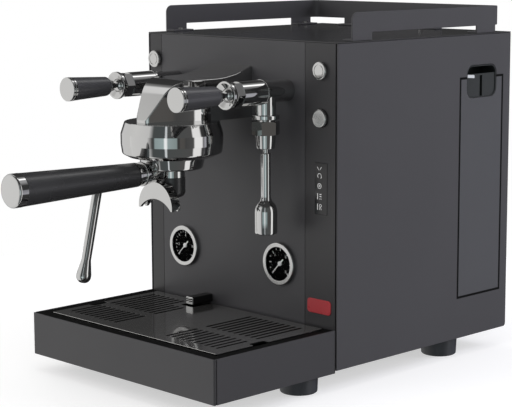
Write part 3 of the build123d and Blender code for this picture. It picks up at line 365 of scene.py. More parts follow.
def makeFinish(name, values):
    material, tree, shader = newMaterial(name)
    feedAll(
        tree,
        shader,
        Metallic=values.get("metallic", 0.0),
        Specular_IOR_Level=values.get("specular", 0.5),
        Coat_Weight=values.get("coat", 0.0),
    )
    place = objectPlace(tree)
    scale, spread = values["mottle"]
    plain = (*values["color"], 1)
    color = addEffect(tree, place, "mottle", Color=plain, Scale=scale, Spread=spread)
    low, high = values["rough"]
    rough = addEffect(tree, place, "haze", Scale=values["haze"], Low=low, High=high)
    # painted highlight: a bright bare-metal strip along the front edge
    if "edgeHighlight" in values:
        edgeHighlight = values["edgeHighlight"]
        mask = addEffect(tree, place, "edgeHighlight", Front=edgeHighlight["front"], Width=edgeHighlight["width"])
        color = blended(tree, mask, color, edgeHighlight["color"])
        feedAll(tree, shader, Metallic=mask)
    if "cut" in values:
        # painted shade: what lies behind the face, such as the walls of slots and the drain
        # nozzle's body, is painted near-black and dull
        cut = values["cut"]
        face = addEffect(tree, place, "cut", Axis=cut["axis"], Level=cut["level"])
        color = blended(tree, face, cut["color"], color)
        behind = mathNode(tree, "SUBTRACT", 1.0, face)
        dull = mathNode(tree, "MULTIPLY", behind, cut["rough"])
        rough = mathNode(tree, "MAXIMUM", rough, dull)
        if "coat" in values:
            feedAll(tree, shader, Coat_Weight=mathNode(tree, "MULTIPLY", face, values["coat"]))
        if "metallic" in values:
            feedAll(tree, shader, Metallic=face)
    feedAll(tree, shader, Base_Color=color, Roughness=rough)
    if "grain" in values:
        scale, depth = values["grain"]
        feedAll(tree, shader, Normal=addEffect(tree, place, "grain", Scale=scale, Depth=depth))
    return material


def makeGaugeGlass(values):
    material, tree, shader = newMaterial("gaugeGlass")
    feedAll(tree, shader, Base_Color=values["color"], Transmission_Weight=1.0, IOR=values["ior"])
    low, high = values["rough"]
    scale = values["haze"]
    haze = addEffect(tree, objectPlace(tree), "haze", Scale=scale, Low=low, High=high)
    feedAll(tree, shader, Roughness=haze)
    # light reaches the dial through the glass
    rays = addNode(tree, "ShaderNodeLightPath").outputs
    passing = mathNode(tree, "MAXIMUM", rays["Is Shadow Ray"], rays["Is Diffuse Ray"])
    clear = addStep(tree, "ShaderNodeBsdfTransparent")
    surface = shader.outputs[0]
    choice = addInOrder(tree, "ShaderNodeMixShader", None, passing, surface, clear)
    tree.links.new(choice[0], tree.nodes["Material Output"].inputs["Surface"])
    return material


materials = {name: makeFinish(name, values) for name, values in finishes.items()}
materials["gaugeGlass"] = makeGaugeGlass(gaugeGlass)
print("finishes ready:", len(materials))


# Which finish each record slot takes, and the nodes that differ from their slot
slotFinishes = {
    "casing_paint": "casingPaint",
    "column_paint": "columnPaint",
    "grate_paint": "gratePaint",
    "chrome": "polishedChrome",
    "steel": "brushedSteel",
    "black_grip": "gripBlack",
    "black_plastic": "mouldedBlack",
    "foot_rubber": "footRubber",
    "gasket_rubber": "footRubber",
    "display_glass": "displayGlass",
    "gauge_glass": "gaugeGlass",
    "needle_paint": "needleWhite",
    "plate_paint": "plateEnamel",
    "tank_plastic": "tankPlastic",
    "brass": "plainBrass",
    "pump_metal": "pumpPaint",
}
nodeFinishes = {
    "drip_pan": "rimBlack",
    "gauge_cases": "bezelChrome",
    "gauge_dials": "dialBlack",
    "pan_rim": "rimBlack",
    "drain_nozzle": "nozzleChromeShaded",
    "power_button": "bezelChrome",
    "steam_lever_grip": "litLeverBlack",
    "water_lever_grip": "litLeverBlack",
    "tank_door": "litDoorPaint",
    "tank_grip": "pocketBlack",
    "top_plate": "topPaint",
    "tray_shell": "shadedTrayPaint",
}


def finishOf(nodeName):
    return materials[nodeFinishes.get(nodeName, slotFinishes[slotOfNode[nodeName]])]


for nodeName, node in nodes.items():
    node.data.materials.clear()
    node.data.materials.append(finishOf(nodeName))
print("nodes dressed")


# Making pieces: distances in metres, turns in degrees
meshing = {
    "weld": 2e-6,
    "fineWeld": 1e-7,
    "fillGap": 1e-8,
    "flatTurn": 0.5,
    "bevelTurn": 35,
    "sharpTurn": 32,
    "samePlane": 0.99999,  # cosine between two normals
}


def attach(piece, body):
    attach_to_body(piece, body)


def settle(piece, nodeName):
    attach(piece, bodyOfNode[nodeName])
    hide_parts(nodeName)


def applied(piece):
    # the shape with its modifiers, as a plain mesh
    bpy.context.view_layer.update()
    depsgraph = bpy.context.evaluated_depsgraph_get()
    mesh = bpy.data.meshes.new_from_object(piece.evaluated_get(depsgraph), depsgraph=depsgraph)
    piece.modifiers.clear()
    return mesh


def openMesh(mesh):
    shape = bmesh.new()
    shape.from_mesh(mesh)
    return shape


def closeMesh(shape, mesh):
    shape.to_mesh(mesh)
    shape.free()


def flatAreas(shape):
    # neighbouring faces that lie in one plane
    seen = set()
    areas = []
    for first in shape.faces:
        if first in seen:
            continue
        area, inside = [first], {first}
        for here in area:
            for other in (face for edge in here.edges for face in edge.link_faces):
                level = abs(other.normal.dot(first.normal)) > meshing["samePlane"]
                if level and other not in inside:
                    inside.add(other)
                    area.append(other)
        seen |= inside
        if len(area) > 1:
            areas.append(area)
    return areas


def refillFlats(mesh):
    # flat areas are filled again from their outlines, so that no sliver is turned over
    shape = openMesh(mesh)
    for area in flatAreas(shape):
        inside = set(area)
        normal = sum((face.normal * face.calc_area() for face in area), Vector()).normalized()
        flatten = normal.to_track_quat("Z", "Y").to_matrix().inverted()
        edges = dict.fromkeys(edge for face in area for edge in face.edges)
        rim = [edge for edge in edges if sum(face in inside for face in edge.link_faces) == 1]
        points = list(dict.fromkeys(vert for edge in rim for vert in edge.verts))
        order = {vert: index for index, vert in enumerate(points)}
        flat = [(flatten @ vert.co).to_2d() for vert in points]
        sides = [tuple(order[vert] for vert in edge.verts) for edge in rim]
        fill = delaunay_2d_cdt(flat, sides, [], 0, meshing["fillGap"])
        found, _, corners, origins = fill[:4]
        if len(found) != len(points):
            continue
        ends = np.array([[flat[index] for index in side] for side in sides])
        (fromX, fromY), (toX, toY) = ends.transpose(1, 2, 0)
        paintIndex = area[0].material_index
        bmesh.ops.delete(shape, geom=area, context="FACES")
        for corner in corners:
            # kept where a line from its middle crosses the outline an odd number of times
            x, y = sum((found[index] for index in corner), Vector((0, 0))) / 3
            level = (fromY > y) != (toY > y)
            reach = fromX + (y - fromY) * (toX - fromX) / np.where(level, toY - fromY, 1)
            if np.count_nonzero(level & (reach > x)) % 2 == 0:
                continue
            face = shape.faces.new([points[origins[index][0]] for index in corner])
            face.smooth = True
            face.material_index = paintIndex
            face.normal_update()
            if face.normal.dot(normal) < 0:
                face.normal_flip()
    closeMesh(shape, mesh)


def softenEdges(piece, width, segments=2):
    piece.data.shade_smooth()
    bevel = piece.modifiers.new("edges", "BEVEL")
    bevel.width = width * mm
    bevel.segments = segments
    bevel.limit_method = "ANGLE"
    bevel.angle_limit = math.radians(meshing["bevelTurn"])
    bevel.use_clamp_overlap = False
    bevel.loop_slide = False
    piece.data = applied(piece)
    refillFlats(piece.data)
    shading = piece.modifiers.new("shading", "WEIGHTED_NORMAL")
    shading.keep_sharp = True
    piece.data = applied(piece)


def shadeSmooth(mesh):
    mesh.shade_smooth()
    mesh.set_sharp_from_angle(angle=math.radians(meshing["sharpTurn"]))


def finishMesh(shape, name, material):
    mesh = bpy.data.meshes.new(name)
    closeMesh(shape, mesh)
    mesh.materials.append(material)
    return mesh


def mergedMesh(nodeName, name):
    mesh = nodes[nodeName].data.copy()
    mesh.name = name
    shading = mesh.attributes.get("custom_normal")
    if shading:
        mesh.attributes.remove(shading)
    shape = openMesh(mesh)
    bmesh.ops.remove_doubles(shape, verts=shape.verts, dist=meshing["weld"])
    flat = math.radians(meshing["flatTurn"])
    bmesh.ops.dissolve_limit(shape, angle_limit=flat, verts=shape.verts, edges=shape.edges)
    closeMesh(shape, mesh)
    return mesh


def turnedMesh(name, profile, axis, material, steps=72):
    # (radius, level) points turned about an upright line at axis, in millimetres
    rings = []
    shape = bmesh.new()
    for radius, level in profile:
        ring = []
        for step in range(steps if radius else 1):
            angle = 2 * math.pi * step / steps
            x = axis[0] + radius * math.cos(angle)
            y = axis[1] + radius * math.sin(angle)
            ring.append(shape.verts.new((x * mm, y * mm, level * mm)))
        rings.append(ring if radius else ring * steps)
    for first, second in zip(rings, rings[1:]):
        for step in range(steps):
            after = (step + 1) % steps
            corners = dict.fromkeys((first[step], first[after], second[after], second[step]))
            if len(corners) > 2:
                shape.faces.new(corners)
    bmesh.ops.recalc_face_normals(shape, faces=shape.faces)
    mesh = finishMesh(shape, name, material)
    shadeSmooth(mesh)
    return mesh


def thicken(shape, offset):
    # a sheet's second side and its rim, in the same order each run
    faces = shape.faces[:]
    rim = [edge for edge in shape.edges if edge.is_boundary]
    twins = {vert: shape.verts.new(vert.co + Vector(offset)) for vert in shape.verts[:]}
    for face in faces:
        shape.faces.new([twins[vert] for vert in face.verts])
    for first, last in (edge.verts for edge in rim):
        shape.faces.new((first, last, twins[last], twins[first]))
    bmesh.ops.recalc_face_normals(shape, faces=shape.faces)


def cutMesh(name, outline, low, high, material):
    # an outline across the sheet's thickness, from low to high along the third axis
    shape = bmesh.new()
    shape.faces.new([shape.verts.new((x * mm, y * mm, low * mm)) for x, y in outline])
    thicken(shape, (0, 0, (high - low) * mm))
    return finishMesh(shape, name, material)


# Folded sheets with the small radius that a press leaves, in millimetres
sheetEdges = {
    "top_plate": ("topPlateSheet", 0.5),
    "cup_rail": ("cupRailSheet", 0.5),
    "left_side_cover": ("leftSideSheet", 0.5),
    "right_side_cover": ("rightSideSheet", 0.5),
    "left_front_column": ("leftColumnSheet", 0.25),
    "right_front_column": ("rightColumnSheet", 0.25),
    "tank_door": ("tankDoorSheet", 0.5),
    "tray_shell": ("traySheet", 0.2),
    "pan_rim": ("panRimFrame", 0.3),
    "rear_panel": ("rearSheet", 0.3),
}
for nodeName, (pieceName, width) in sheetEdges.items():
    sheet = addPiece(pieceName, mergedMesh(nodeName, pieceName))
    softenEdges(sheet, width)
    settle(sheet, nodeName)
print("sheets softened:", len(sheetEdges))


# Hot water outlet: a round shoulder under the tube, as radius and depth below its top
outlet = {
    "shoulder": [
        (5.3, 0), (5.45, 2), (6.0, 4), (7.1, 5.8), (8.6, 7.4), (10.0, 9.2), (11.1, 11.4),
        (11.8, 13.8),
    ],
    "barrel": [(12.15, 16.4), (12.2, 18.5), (12.2, 38.6), (11.9, 39.7), (11.2, 40.3), (10.4, 40.5)],
    "mouth": [(8.0, 40.5), (8.0, 37.5), (0, 37.5)],
}


def makeOutlet(values):
    low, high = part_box("water_outlet")
    axis = ((low.x + high.x) / 2 / mm, (low.y + high.y) / 2 / mm)
    profile = [(0, 0)] + values["shoulder"] + values["barrel"] + values["mouth"]
    placed = [(radius, high.z / mm - depth) for radius, depth in profile]
    mesh = turnedMesh("outletBell", placed, axis, finishOf("water_outlet"))
    settle(addPiece("outletBell", mesh), "water_outlet")


makeOutlet(outlet)


# Filter holder: its cup narrows below the bell, in millimetres
groupAxis = (-12.0, -83.0)
filterCup = {
    "radius": 35.9,
    "top": 244.5,
    "bottom": 232.3,
    "share": 0.08,
    "levels": (244.5, 242.5, 240.5, 238.5, 236.6, 235.2),
}


def makeFilterCup(values):
    mesh = mergedMesh("portafilter_body", "filterCup")
    shape = openMesh(mesh)
    for level in values["levels"]:
        bmesh.ops.bisect_plane(
            shape,
            geom=shape.verts[:] + shape.edges[:] + shape.faces[:],
            dist=meshing["fineWeld"],
            plane_co=(0, 0, level * mm),
            plane_no=(0, 0, 1),
        )
    axis = Vector(groupAxis) * mm
    height = (values["top"] - values["bottom"]) * mm
    for vert in shape.verts:
        drop = (values["top"] * mm - vert.co.z) / height
        across = vert.co.xy - axis
        if drop > 0 and across.length <= values["radius"] * mm:
            vert.co.xy = axis + across * (1 - values["share"] * min(drop, 1.0))
    closeMesh(shape, mesh)
    shadeSmooth(mesh)
    settle(addPiece("filterCup", mesh), "portafilter_body")


makeFilterCup(filterCup)


# A black sleeve over the spout's stem, round at its lower end, in millimetres: painted shade
# standing in for the stem's dark reflection
stemShade = {
    "radius": 13.8, "low": 200.9, "high": 223.5, "round": 6.5, "roundSteps": 8, "chamfer": 0.8
}


def makeShadedStem(values):
    radius, bend, chamfer = values["radius"], values["round"], values["chamfer"]
    low, high = values["low"], values["high"]
    profile = [(0, low)]
    for step in range(values["roundSteps"] + 1):
        angle = math.radians(90 * step / values["roundSteps"])
        reach = radius - bend + bend * math.sin(angle)
        profile.append((reach, low + bend - bend * math.cos(angle)))
    profile += [(radius, high - chamfer), (radius - chamfer, high), (0, high)]
    mesh = turnedMesh("spoutShadeSleeve", profile, groupAxis, materials["gripBlack"])
    attach(addPiece("spoutShadeSleeve", mesh), "portafilter")


makeShadedStem(stemShade)


# Tank door: a near-black strip laid over its seam as painted shade, open at the pocket, and a small
# pale strip on its ledge as a painted highlight
doorSeamShade = {"overlap": 0.5, "width": 2.6, "rise": 0.12, "depth": 0.1, "pocketGap": 0.5}
ledgeHighlight = {
    "outline": [
        (217.8, 320.2), (229.4, 319.3), (230.2, 319.9), (230.0, 322.4), (229.3, 322.9),
        (217.8, 323.7),
    ],
    "low": 148.4,
    "high": 149.3,
    "edge": 0.25,
}


def sidePiece(name, outline, low, high, finish):
    # a piece in the plane of the right side, its outline as places along the depth and up
    mesh = cutMesh(name, outline, low, high, materials[finish])
    mesh.transform(Matrix(((0, 0, 1, 0), (1, 0, 0, 0), (0, 1, 0, 0), (0, 0, 0, 1))))
    piece = addPiece(name, mesh)
    attach(piece, "tank")
    return piece


# painted shade: a near-black strip over the door's seam, open at the pocket
def makeSeamShade(values):
    low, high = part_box("tank_door")
    pocketLow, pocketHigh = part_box("tank_grip")
    near, far = -values["overlap"], values["width"] - values["overlap"]
    front, back = low.y / mm, high.y / mm
    bottom, top = low.z / mm, high.z / mm
    first = pocketLow.y / mm - values["pocketGap"]
    last = pocketHigh.y / mm + values["pocketGap"]

    def around(offset):
        left, right = front - offset, back + offset
        low, high = bottom - offset, top + offset
        return [(first, high), (left, high), (left, low), (right, low), (right, high), (last, high)]

    outline = around(far) + around(near)[::-1]
    face = high.x / mm + values["rise"]
    sidePiece("doorSeamShade", outline, face - values["depth"], face, "rimBlack")


# painted highlight: a small pale strip on the pocket's ledge, for a bright spot there
def makeLedgeHighlightStrip(values):
    low, high = values["low"], values["high"]
    outline = values["outline"]
    piece = sidePiece("pocketHighlightStrip", outline, low, high, "tankPlastic")
    softenEdges(piece, values["edge"])


makeSeamShade(doorSeamShade)
makeLedgeHighlightStrip(ledgeHighlight)
print("outlet, sleeve and door details ready")


# Geometry Nodes helpers
def newTree(name, inputs):
    return newGroup(name, "GeometryNodeTree", inputs, "Geometry", "NodeSocketGeometry")


def vectorOf(tree, x=0.0, y=0.0, z=0.0):
    return addStep(tree, "ShaderNodeCombineXYZ", X=x, Y=y, Z=z)


def shifted(tree, geometry, offset):
    return addStep(tree, "GeometryNodeTransform", Geometry=geometry, Translation=offset)


def joined(tree, parts):
    node = addNode(tree, "GeometryNodeJoinGeometry")
    for part in parts:
        tree.links.new(part, node.inputs[0])
    return node.outputs[0]


def finishTree(tree, geometry, finish):
    real = addStep(tree, "GeometryNodeRealizeInstances", Geometry=geometry)
    material = materials[finish]
    painted = addStep(tree, "GeometryNodeSetMaterial", Geometry=real, Material=material)
    return closeGroup(tree, painted)


def grow(name, tree, settings, startMesh=None):
    # the tree's result as a plain piece, its inputs set by identifier before the first evaluation
    holder = addPiece(name, startMesh or bpy.data.meshes.new(name))
    modifier = holder.modifiers.new("shape", "NODES")
    modifier.node_group = tree
    for item in tree.interface.items_tree:
        if item.in_out == "INPUT" and item.name in settings:
            modifier[item.identifier] = settings[item.name]
    holder.data = applied(holder)
    return holder


# Drip grate: an outline with finger and nozzle notches, and rows of slots
slotPitch = 76.0 / 9
grate = {
    "corner": 2.0,
    "lip": 0.8,
    "fingerNotch": {"depth": 8.0, "low": -104.0, "high": -82.0, "round": 4.0},
    "nozzleNotch": {"left": -60.0, "right": -40.0, "front": -31.0, "round": 1.5},
    "slotWidth": 4.0,
    "slotRound": 0.49,  # of the slot's width
    "slotSteps": 4,
    # first slot, count, front and back end
    "rows": [
        (-122.0, 7, -83.0, -15.0), (-122.0 + 7 * slotPitch, 3, -83.0, -38.0),
        (-122.0, 10, -139.5, -95.0), (40.0, 10, -83.0, -15.0), (40.0, 10, -139.5, -95.0),
    ],
    "edge": 0.35,
    "weld": 1e-6,
}


def roundedLoop(corners, steps=5):
    # (x, y, radius) corners to a closed line with an arc at each corner
    points = []
    for index, (x, y, radius) in enumerate(corners):
        here = Vector((x, y))
        toLast = (Vector(corners[index - 1][:2]) - here).normalized()
        toNext = (Vector(corners[(index + 1) % len(corners)][:2]) - here).normalized()
        half = toLast.angle(toNext) / 2
        centre = here + (toLast + toNext).normalized() * radius / math.sin(half)
        first = here + toLast * radius / math.tan(half) - centre
        last = here + toNext * radius / math.tan(half) - centre
        sweep = first.angle_signed(last)
        for step in range(steps + 1):
            turn = -sweep * step / steps
            points.append(centre + Matrix.Rotation(turn, 2) @ first)
    return points


def lineMesh(name, points):
    mesh = bpy.data.meshes.new(name)
    count = len(points)
    edges = [(index, (index + 1) % count) for index in range(count)]
    mesh.from_pydata([(x * mm, y * mm, 0) for x, y in points], edges, [])
    return mesh


rowInputs = {"First": 0.0, "Count": 10, "Low": 0.0, "High": 0.05}


def makeSlotRowTree(values):
    inputs = {**rowInputs, "Pitch": 0.008, "Width": 0.004, "Level": 0.0}
    tree, start = newTree("slotRow", inputs)
    middle = mathNode(tree, "MULTIPLY", mathNode(tree, "ADD", start["Low"], start["High"]), 0.5)
    length = mathNode(tree, "SUBTRACT", start["High"], start["Low"])
    line = addStep(
        tree,
        "GeometryNodeMeshLine",
        {"mode": "OFFSET"},
        Count=start["Count"],
        Start_Location=vectorOf(tree, start["First"], middle, start["Level"]),
        Offset=vectorOf(tree, start["Pitch"]),
    )
    outline = addStep(
        tree, "GeometryNodeCurvePrimitiveQuadrilateral", Width=start["Width"], Height=length
    )
    ends = addStep(
        tree,
        "GeometryNodeFilletCurve",
        {"mode": "POLY"},
        Curve=outline,
        Count=values["slotSteps"],
        Radius=mathNode(tree, "MULTIPLY", start["Width"], values["slotRound"]),
    )
    row = addStep(tree, "GeometryNodeInstanceOnPoints", Points=line, Instance=ends)
    return closeGroup(tree, row)


def makeGrateTree(values):
    rowTree = makeSlotRowTree(values)
    rowCount = len(values["rows"])
    inputs = {"Geometry": None, "Thickness": 0.0, "Level": 0.0}
    inputs.update({"Slot Pitch": 0.0, "Slot Width": 0.0})
    for row in range(rowCount):
        inputs.update({f"Row {row} {label}": value for label, value in rowInputs.items()})
    tree, start = newTree("gratePlate", inputs)
    parts = [addStep(tree, "GeometryNodeMeshToCurve", Mesh=start["Geometry"])]
    for row in range(rowCount):
        slots = addStep(
            tree,
            "GeometryNodeGroup",
            {"node_tree": rowTree},
            Pitch=start["Slot Pitch"],
            Width=start["Slot Width"],
            Level=start["Level"],
            **{label: start[f"Row {row} {label}"] for label in rowInputs},
        )
        parts.append(slots)
    curves = addStep(tree, "GeometryNodeRealizeInstances", Geometry=joined(tree, parts))
    filled = addStep(tree, "GeometryNodeFillCurve", {"mode": "TRIANGLES"}, Curve=curves)
    flat = shifted(tree, filled, vectorOf(tree, z=start["Level"]))
    raised = addStep(
        tree,
        "GeometryNodeExtrudeMesh",
        Mesh=flat,
        Offset_Scale=start["Thickness"],
        Individual=False,
    )
    underside = addStep(tree, "GeometryNodeFlipFaces", Mesh=flat)
    plate = addStep(
        tree,
        "GeometryNodeMergeByDistance",
        Geometry=joined(tree, [raised, underside]),
        Distance=values["weld"],
    )
    return finishTree(tree, plate, "gratePaint")


def makeGrate(values):
    low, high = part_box("drip_grate")
    left, front = low.x / mm, low.y / mm
    right, back = high.x / mm, high.y / mm
    corner, lip = values["corner"], values["lip"]
    finger = values["fingerNotch"]
    nozzle = values["nozzleNotch"]
    deep = finger["round"]
    tight = nozzle["round"]

    def fingerNotch(side, inner):
        return [
            (side, finger["low"], lip),
            (inner, finger["low"], deep),
            (inner, finger["high"], deep),
            (side, finger["high"], lip),
        ]

    outline = [
        (left, front, corner),
        (right, front, corner),
        *fingerNotch(right, right - finger["depth"]),
        (right, back, corner),
        (nozzle["right"], back, lip),
        (nozzle["right"], nozzle["front"], tight),
        (nozzle["left"], nozzle["front"], tight),
        (nozzle["left"], back, lip),
        (left, back, corner),
        *reversed(fingerNotch(left, left + finger["depth"])),
    ]
    settings = {
        "Thickness": high.z - low.z,
        "Level": low.z,
        "Slot Pitch": slotPitch * mm,
        "Slot Width": values["slotWidth"] * mm,
    }
    for row, entries in enumerate(values["rows"]):
        for label, entry in zip(rowInputs, entries):
            settings[f"Row {row} {label}"] = entry if label == "Count" else entry * mm
    line = lineMesh("dripGratePlate", roundedLoop(outline))
    plate = grow("dripGratePlate", makeGrateTree(values), settings, line)
    softenEdges(plate, values["edge"])
    settle(plate, "drip_grate")


makeGrate(grate)
print("grate ready")


# Casing screws: a domed head with a hexagon socket, seated at each place and turned to its face
screws = {
    "radius": 3.2,
    "crown": 2.5,
    "height": 1.8,
    "socket": 1.5,
    "socketDepth": 1.0,
    "sunk": 0.49,  # of the socket's depth, so that its cutter stands just clear of the crown
    "headSides": 32,
    "socketSides": 6,
    "top": [
        (139.5, 43.2), (-139.5, 43.2), (139.5, 252.0), (-139.5, 252.0), (-70.0, 272.0),
        (34.0, 272.0),
    ],
    "topLevel": 371.5,
    "rear": [
        (139.5, 33.0), (-139.5, 33.0), (139.5, 196.0), (-139.5, 196.0), (139.5, 359.0),
        (-139.5, 359.0),
    ],
    "rearFace": 291.0,
    "edge": 0.25,
}


def makeScrewTree(values):
    sizes = {"Radius": 0.003, "Crown": 0.0025, "Height": 0.002, "Socket": 0.0015}
    inputs = {"Geometry": None, **sizes, "Socket Depth": 0.001}
    tree, start = newTree("socketScrews", inputs)
    head = addStep(
        tree,
        "GeometryNodeMeshCone",
        Vertices=values["headSides"],
        Radius_Top=start["Crown"],
        Radius_Bottom=start["Radius"],
        Depth=start["Height"],
    )
    socket = addStep(
        tree,
        "GeometryNodeMeshCylinder",
        Vertices=values["socketSides"],
        Radius=start["Socket"],
        Depth=start["Socket Depth"],
    )
    lowered = mathNode(
        tree, "MULTIPLY_ADD", start["Socket Depth"], -values["sunk"], start["Height"]
    )
    socket = shifted(tree, socket, vectorOf(tree, z=lowered))
    taken = {"operation": "DIFFERENCE"}
    screw = addInOrder(tree, "GeometryNodeMeshBoolean", taken, head, socket)[0]
    kind = {"data_type": "FLOAT_VECTOR"}
    facing = addStep(tree, "GeometryNodeInputNamedAttribute", kind, Name="facing")
    turn = addStep(tree, "FunctionNodeAlignRotationToVector", {"axis": "Z"}, Vector=facing)
    seated = addStep(
        tree,
        "GeometryNodeInstanceOnPoints",
        Points=start["Geometry"],
        Instance=screw,
        Rotation=turn,
    )
    return finishTree(tree, seated, "brushedSteel")


def makeScrews(values):
    places = [(x * mm, y * mm, values["topLevel"] * mm) for x, y in values["top"]]
    places += [(x * mm, values["rearFace"] * mm, z * mm) for x, z in values["rear"]]
    directions = [(0, 0, 1)] * len(values["top"]) + [(0, 1, 0)] * len(values["rear"])
    points = bpy.data.meshes.new("casingScrewHeads")
    points.from_pydata(places, [], [])
    facing = points.attributes.new("facing", "FLOAT_VECTOR", "POINT")
    for entry, direction in zip(facing.data, directions):
        entry.vector = direction
    sizes = ("radius", "crown", "height", "socket")
    settings = {size.title(): values[size] * mm for size in sizes}
    settings["Socket Depth"] = values["socketDepth"] * mm
    heads = grow("casingScrewHeads", makeScrewTree(values), settings, points)
    softenEdges(heads, values["edge"])
    settle(heads, "casing_screws")


makeScrews(screws)
print("screws ready")


# Gauge dials: printed ticks and numbers, raised by the thickness of the ink
dials = {
    "face": 3.5,
    "level": 126.3,
    "cup": [(0, 5.9), (19.2, 5.9), (19.2, 1.6), (18.55, 1.6), (17.9, 3.5), (0, 3.5)],
    "ink": 0.08,
    "start": -135.0,
    "sweep": 270.0,
    "tickRim": 17.3,
    "major": (3.4, 0.95),
    "minor": (1.8, 0.6),
    "numberRadius": 11.6,
    "numberSize": 3.8,
    "left": {"x": -89.3, "majors": 7, "between": 2, "numbers": ["", "2", "", "6", "", "10", ""]},
    "right": {"x": 65.3, "majors": 7, "between": 1, "numbers": ["0", "", "1", "", "2", "", "3"]},
}
needles = {
    "rest": 225.0,
    "blade": [
        (-7.4, -0.75), (0, -0.8), (0, -0.55), (16.1, -0.22), (16.1, 0.22), (0, 0.55), (0, 0.8),
        (-7.4, 0.75),
    ],
    "bladeLow": 1.95,
    "bladeHigh": 2.45,
    "hub": [(0, 3.3), (2.5, 3.3), (2.6, 1.9), (2.2, 1.6), (0, 1.55)],
    "hubSteps": 32,
}


def makeTickTree():
    inputs = {"Count": 9, "Start": 0.0, "Step": 0.1, "Rim": 0.017, "Length": 0.003}
    inputs.update({"Width": 0.0006, "Ink": 0.0001, "Centre": (0, 0, 0)})
    tree, start = newTree("dialTicks", inputs)
    size = vectorOf(tree, start["Width"], start["Ink"], start["Length"])
    reach = mathNode(tree, "MULTIPLY_ADD", start["Length"], -0.5, start["Rim"])
    bar = addStep(tree, "GeometryNodeMeshCube", Size=size)
    bar = shifted(tree, bar, vectorOf(tree, z=reach))
    points = addStep(tree, "GeometryNodePoints", Count=start["Count"])
    index = addStep(tree, "GeometryNodeInputIndex")
    angle = mathNode(tree, "MULTIPLY_ADD", index, start["Step"], start["Start"])
    turn = addStep(tree, "FunctionNodeEulerToRotation", Euler=vectorOf(tree, y=angle))
    ring = addStep(
        tree, "GeometryNodeInstanceOnPoints", Points=points, Instance=bar, Rotation=turn
    )
    return finishTree(tree, shifted(tree, ring, start["Centre"]), "needleWhite")


def joinMeshes(name, meshes, material):
    shape = bmesh.new()
    for mesh in meshes:
        shape.from_mesh(mesh)
    bmesh.ops.remove_doubles(shape, verts=shape.verts, dist=meshing["fineWeld"])
    bmesh.ops.recalc_face_normals(shape, faces=shape.faces)
    result = finishMesh(shape, name, material)
    for face in result.polygons:
        face.material_index = 0
    return result


def textMesh(text, size, depth):
    data = bpy.data.curves.new("dialText", "FONT")
    data.body = text
    data.size = size
    data.align_x = "CENTER"
    data.align_y = "CENTER"
    data.extrude = depth / 2
    data.resolution_u = 4
    writing = addPiece("dialText", data)
    mesh = applied(writing)
    bpy.data.objects.remove(writing)
    return mesh


def dialPlace(side):
    # from a flat drawing to the dial's centre, standing upright
    place = Matrix.Translation((dials[side]["x"] * mm, 0, dials["level"] * mm))
    return place @ turned(-90, "X")


def makeDialMarks(side, values):
    spec = values[side]
    ink = values["ink"] * mm
    centre = Vector((spec["x"] * mm, values["face"] * mm - ink / 2, values["level"] * mm))
    tree = makeTickTree()
    sweep = math.radians(values["sweep"])
    gaps = spec["majors"] - 1
    counts = {"major": spec["majors"], "minor": gaps * (spec["between"] + 1) + 1}
    meshes = []
    for kind, count in counts.items():
        length, width = values[kind]
        ticks = grow("dialTicks", tree, {
            "Count": count,
            "Start": math.radians(values["start"]),
            "Step": sweep / (count - 1),
            "Rim": values["tickRim"] * mm,
            "Length": length * mm,
            "Width": width * mm,
            "Ink": ink,
            "Centre": centre,
        })
        meshes.append(ticks.data)
        bpy.data.objects.remove(ticks)
    reach = values["numberRadius"] * mm
    for index, number in enumerate(spec["numbers"]):
        if not number:
            continue
        angle = math.radians(values["start"]) + sweep * index / gaps
        place = centre + Vector((math.sin(angle) * reach, 0, math.cos(angle) * reach))
        writing = textMesh(number, values["numberSize"] * mm, ink)
        writing.transform(Matrix.Translation(place) @ turned(90, "X"))
        meshes.append(writing)
    name = side + "DialMarks"
    marks = addPiece(name, joinMeshes(name, meshes, materials["needleWhite"]))
    attach(marks, "machine")


def makeDialFaces(values):
    # the dials stand close under their glasses, in dark cups
    cups = []
    for side in ("left", "right"):
        cup = turnedMesh("dialCup", values["cup"], (0, 0), materials["dialBlack"])
        cup.transform(dialPlace(side))
        cups.append(cup)
    faces = joinMeshes("dialFaces", cups, materials["dialBlack"])
    shadeSmooth(faces)
    settle(addPiece("dialFaces", faces), "gauge_dials")


def makeNeedle(side, values):
    finish = materials["needleWhite"]
    low, high = values["bladeLow"], values["bladeHigh"]
    blade = cutMesh("needleBlade", values["blade"], low, high, finish)
    blade.transform(turned(-values["rest"], "Z"))
    hub = turnedMesh("needleHub", values["hub"], (0, 0), finish, values["hubSteps"])
    mesh = joinMeshes(side + "Needle", [blade, hub], finish)
    mesh.transform(dialPlace(side))
    shadeSmooth(mesh)
    settle(addPiece(side + "Needle", mesh), side + "_gauge_needle")


makeDialFaces(dials)
for side in ("left", "right"):
    makeDialMarks(side, dials)
    makeNeedle(side, needles)
print("dials ready")


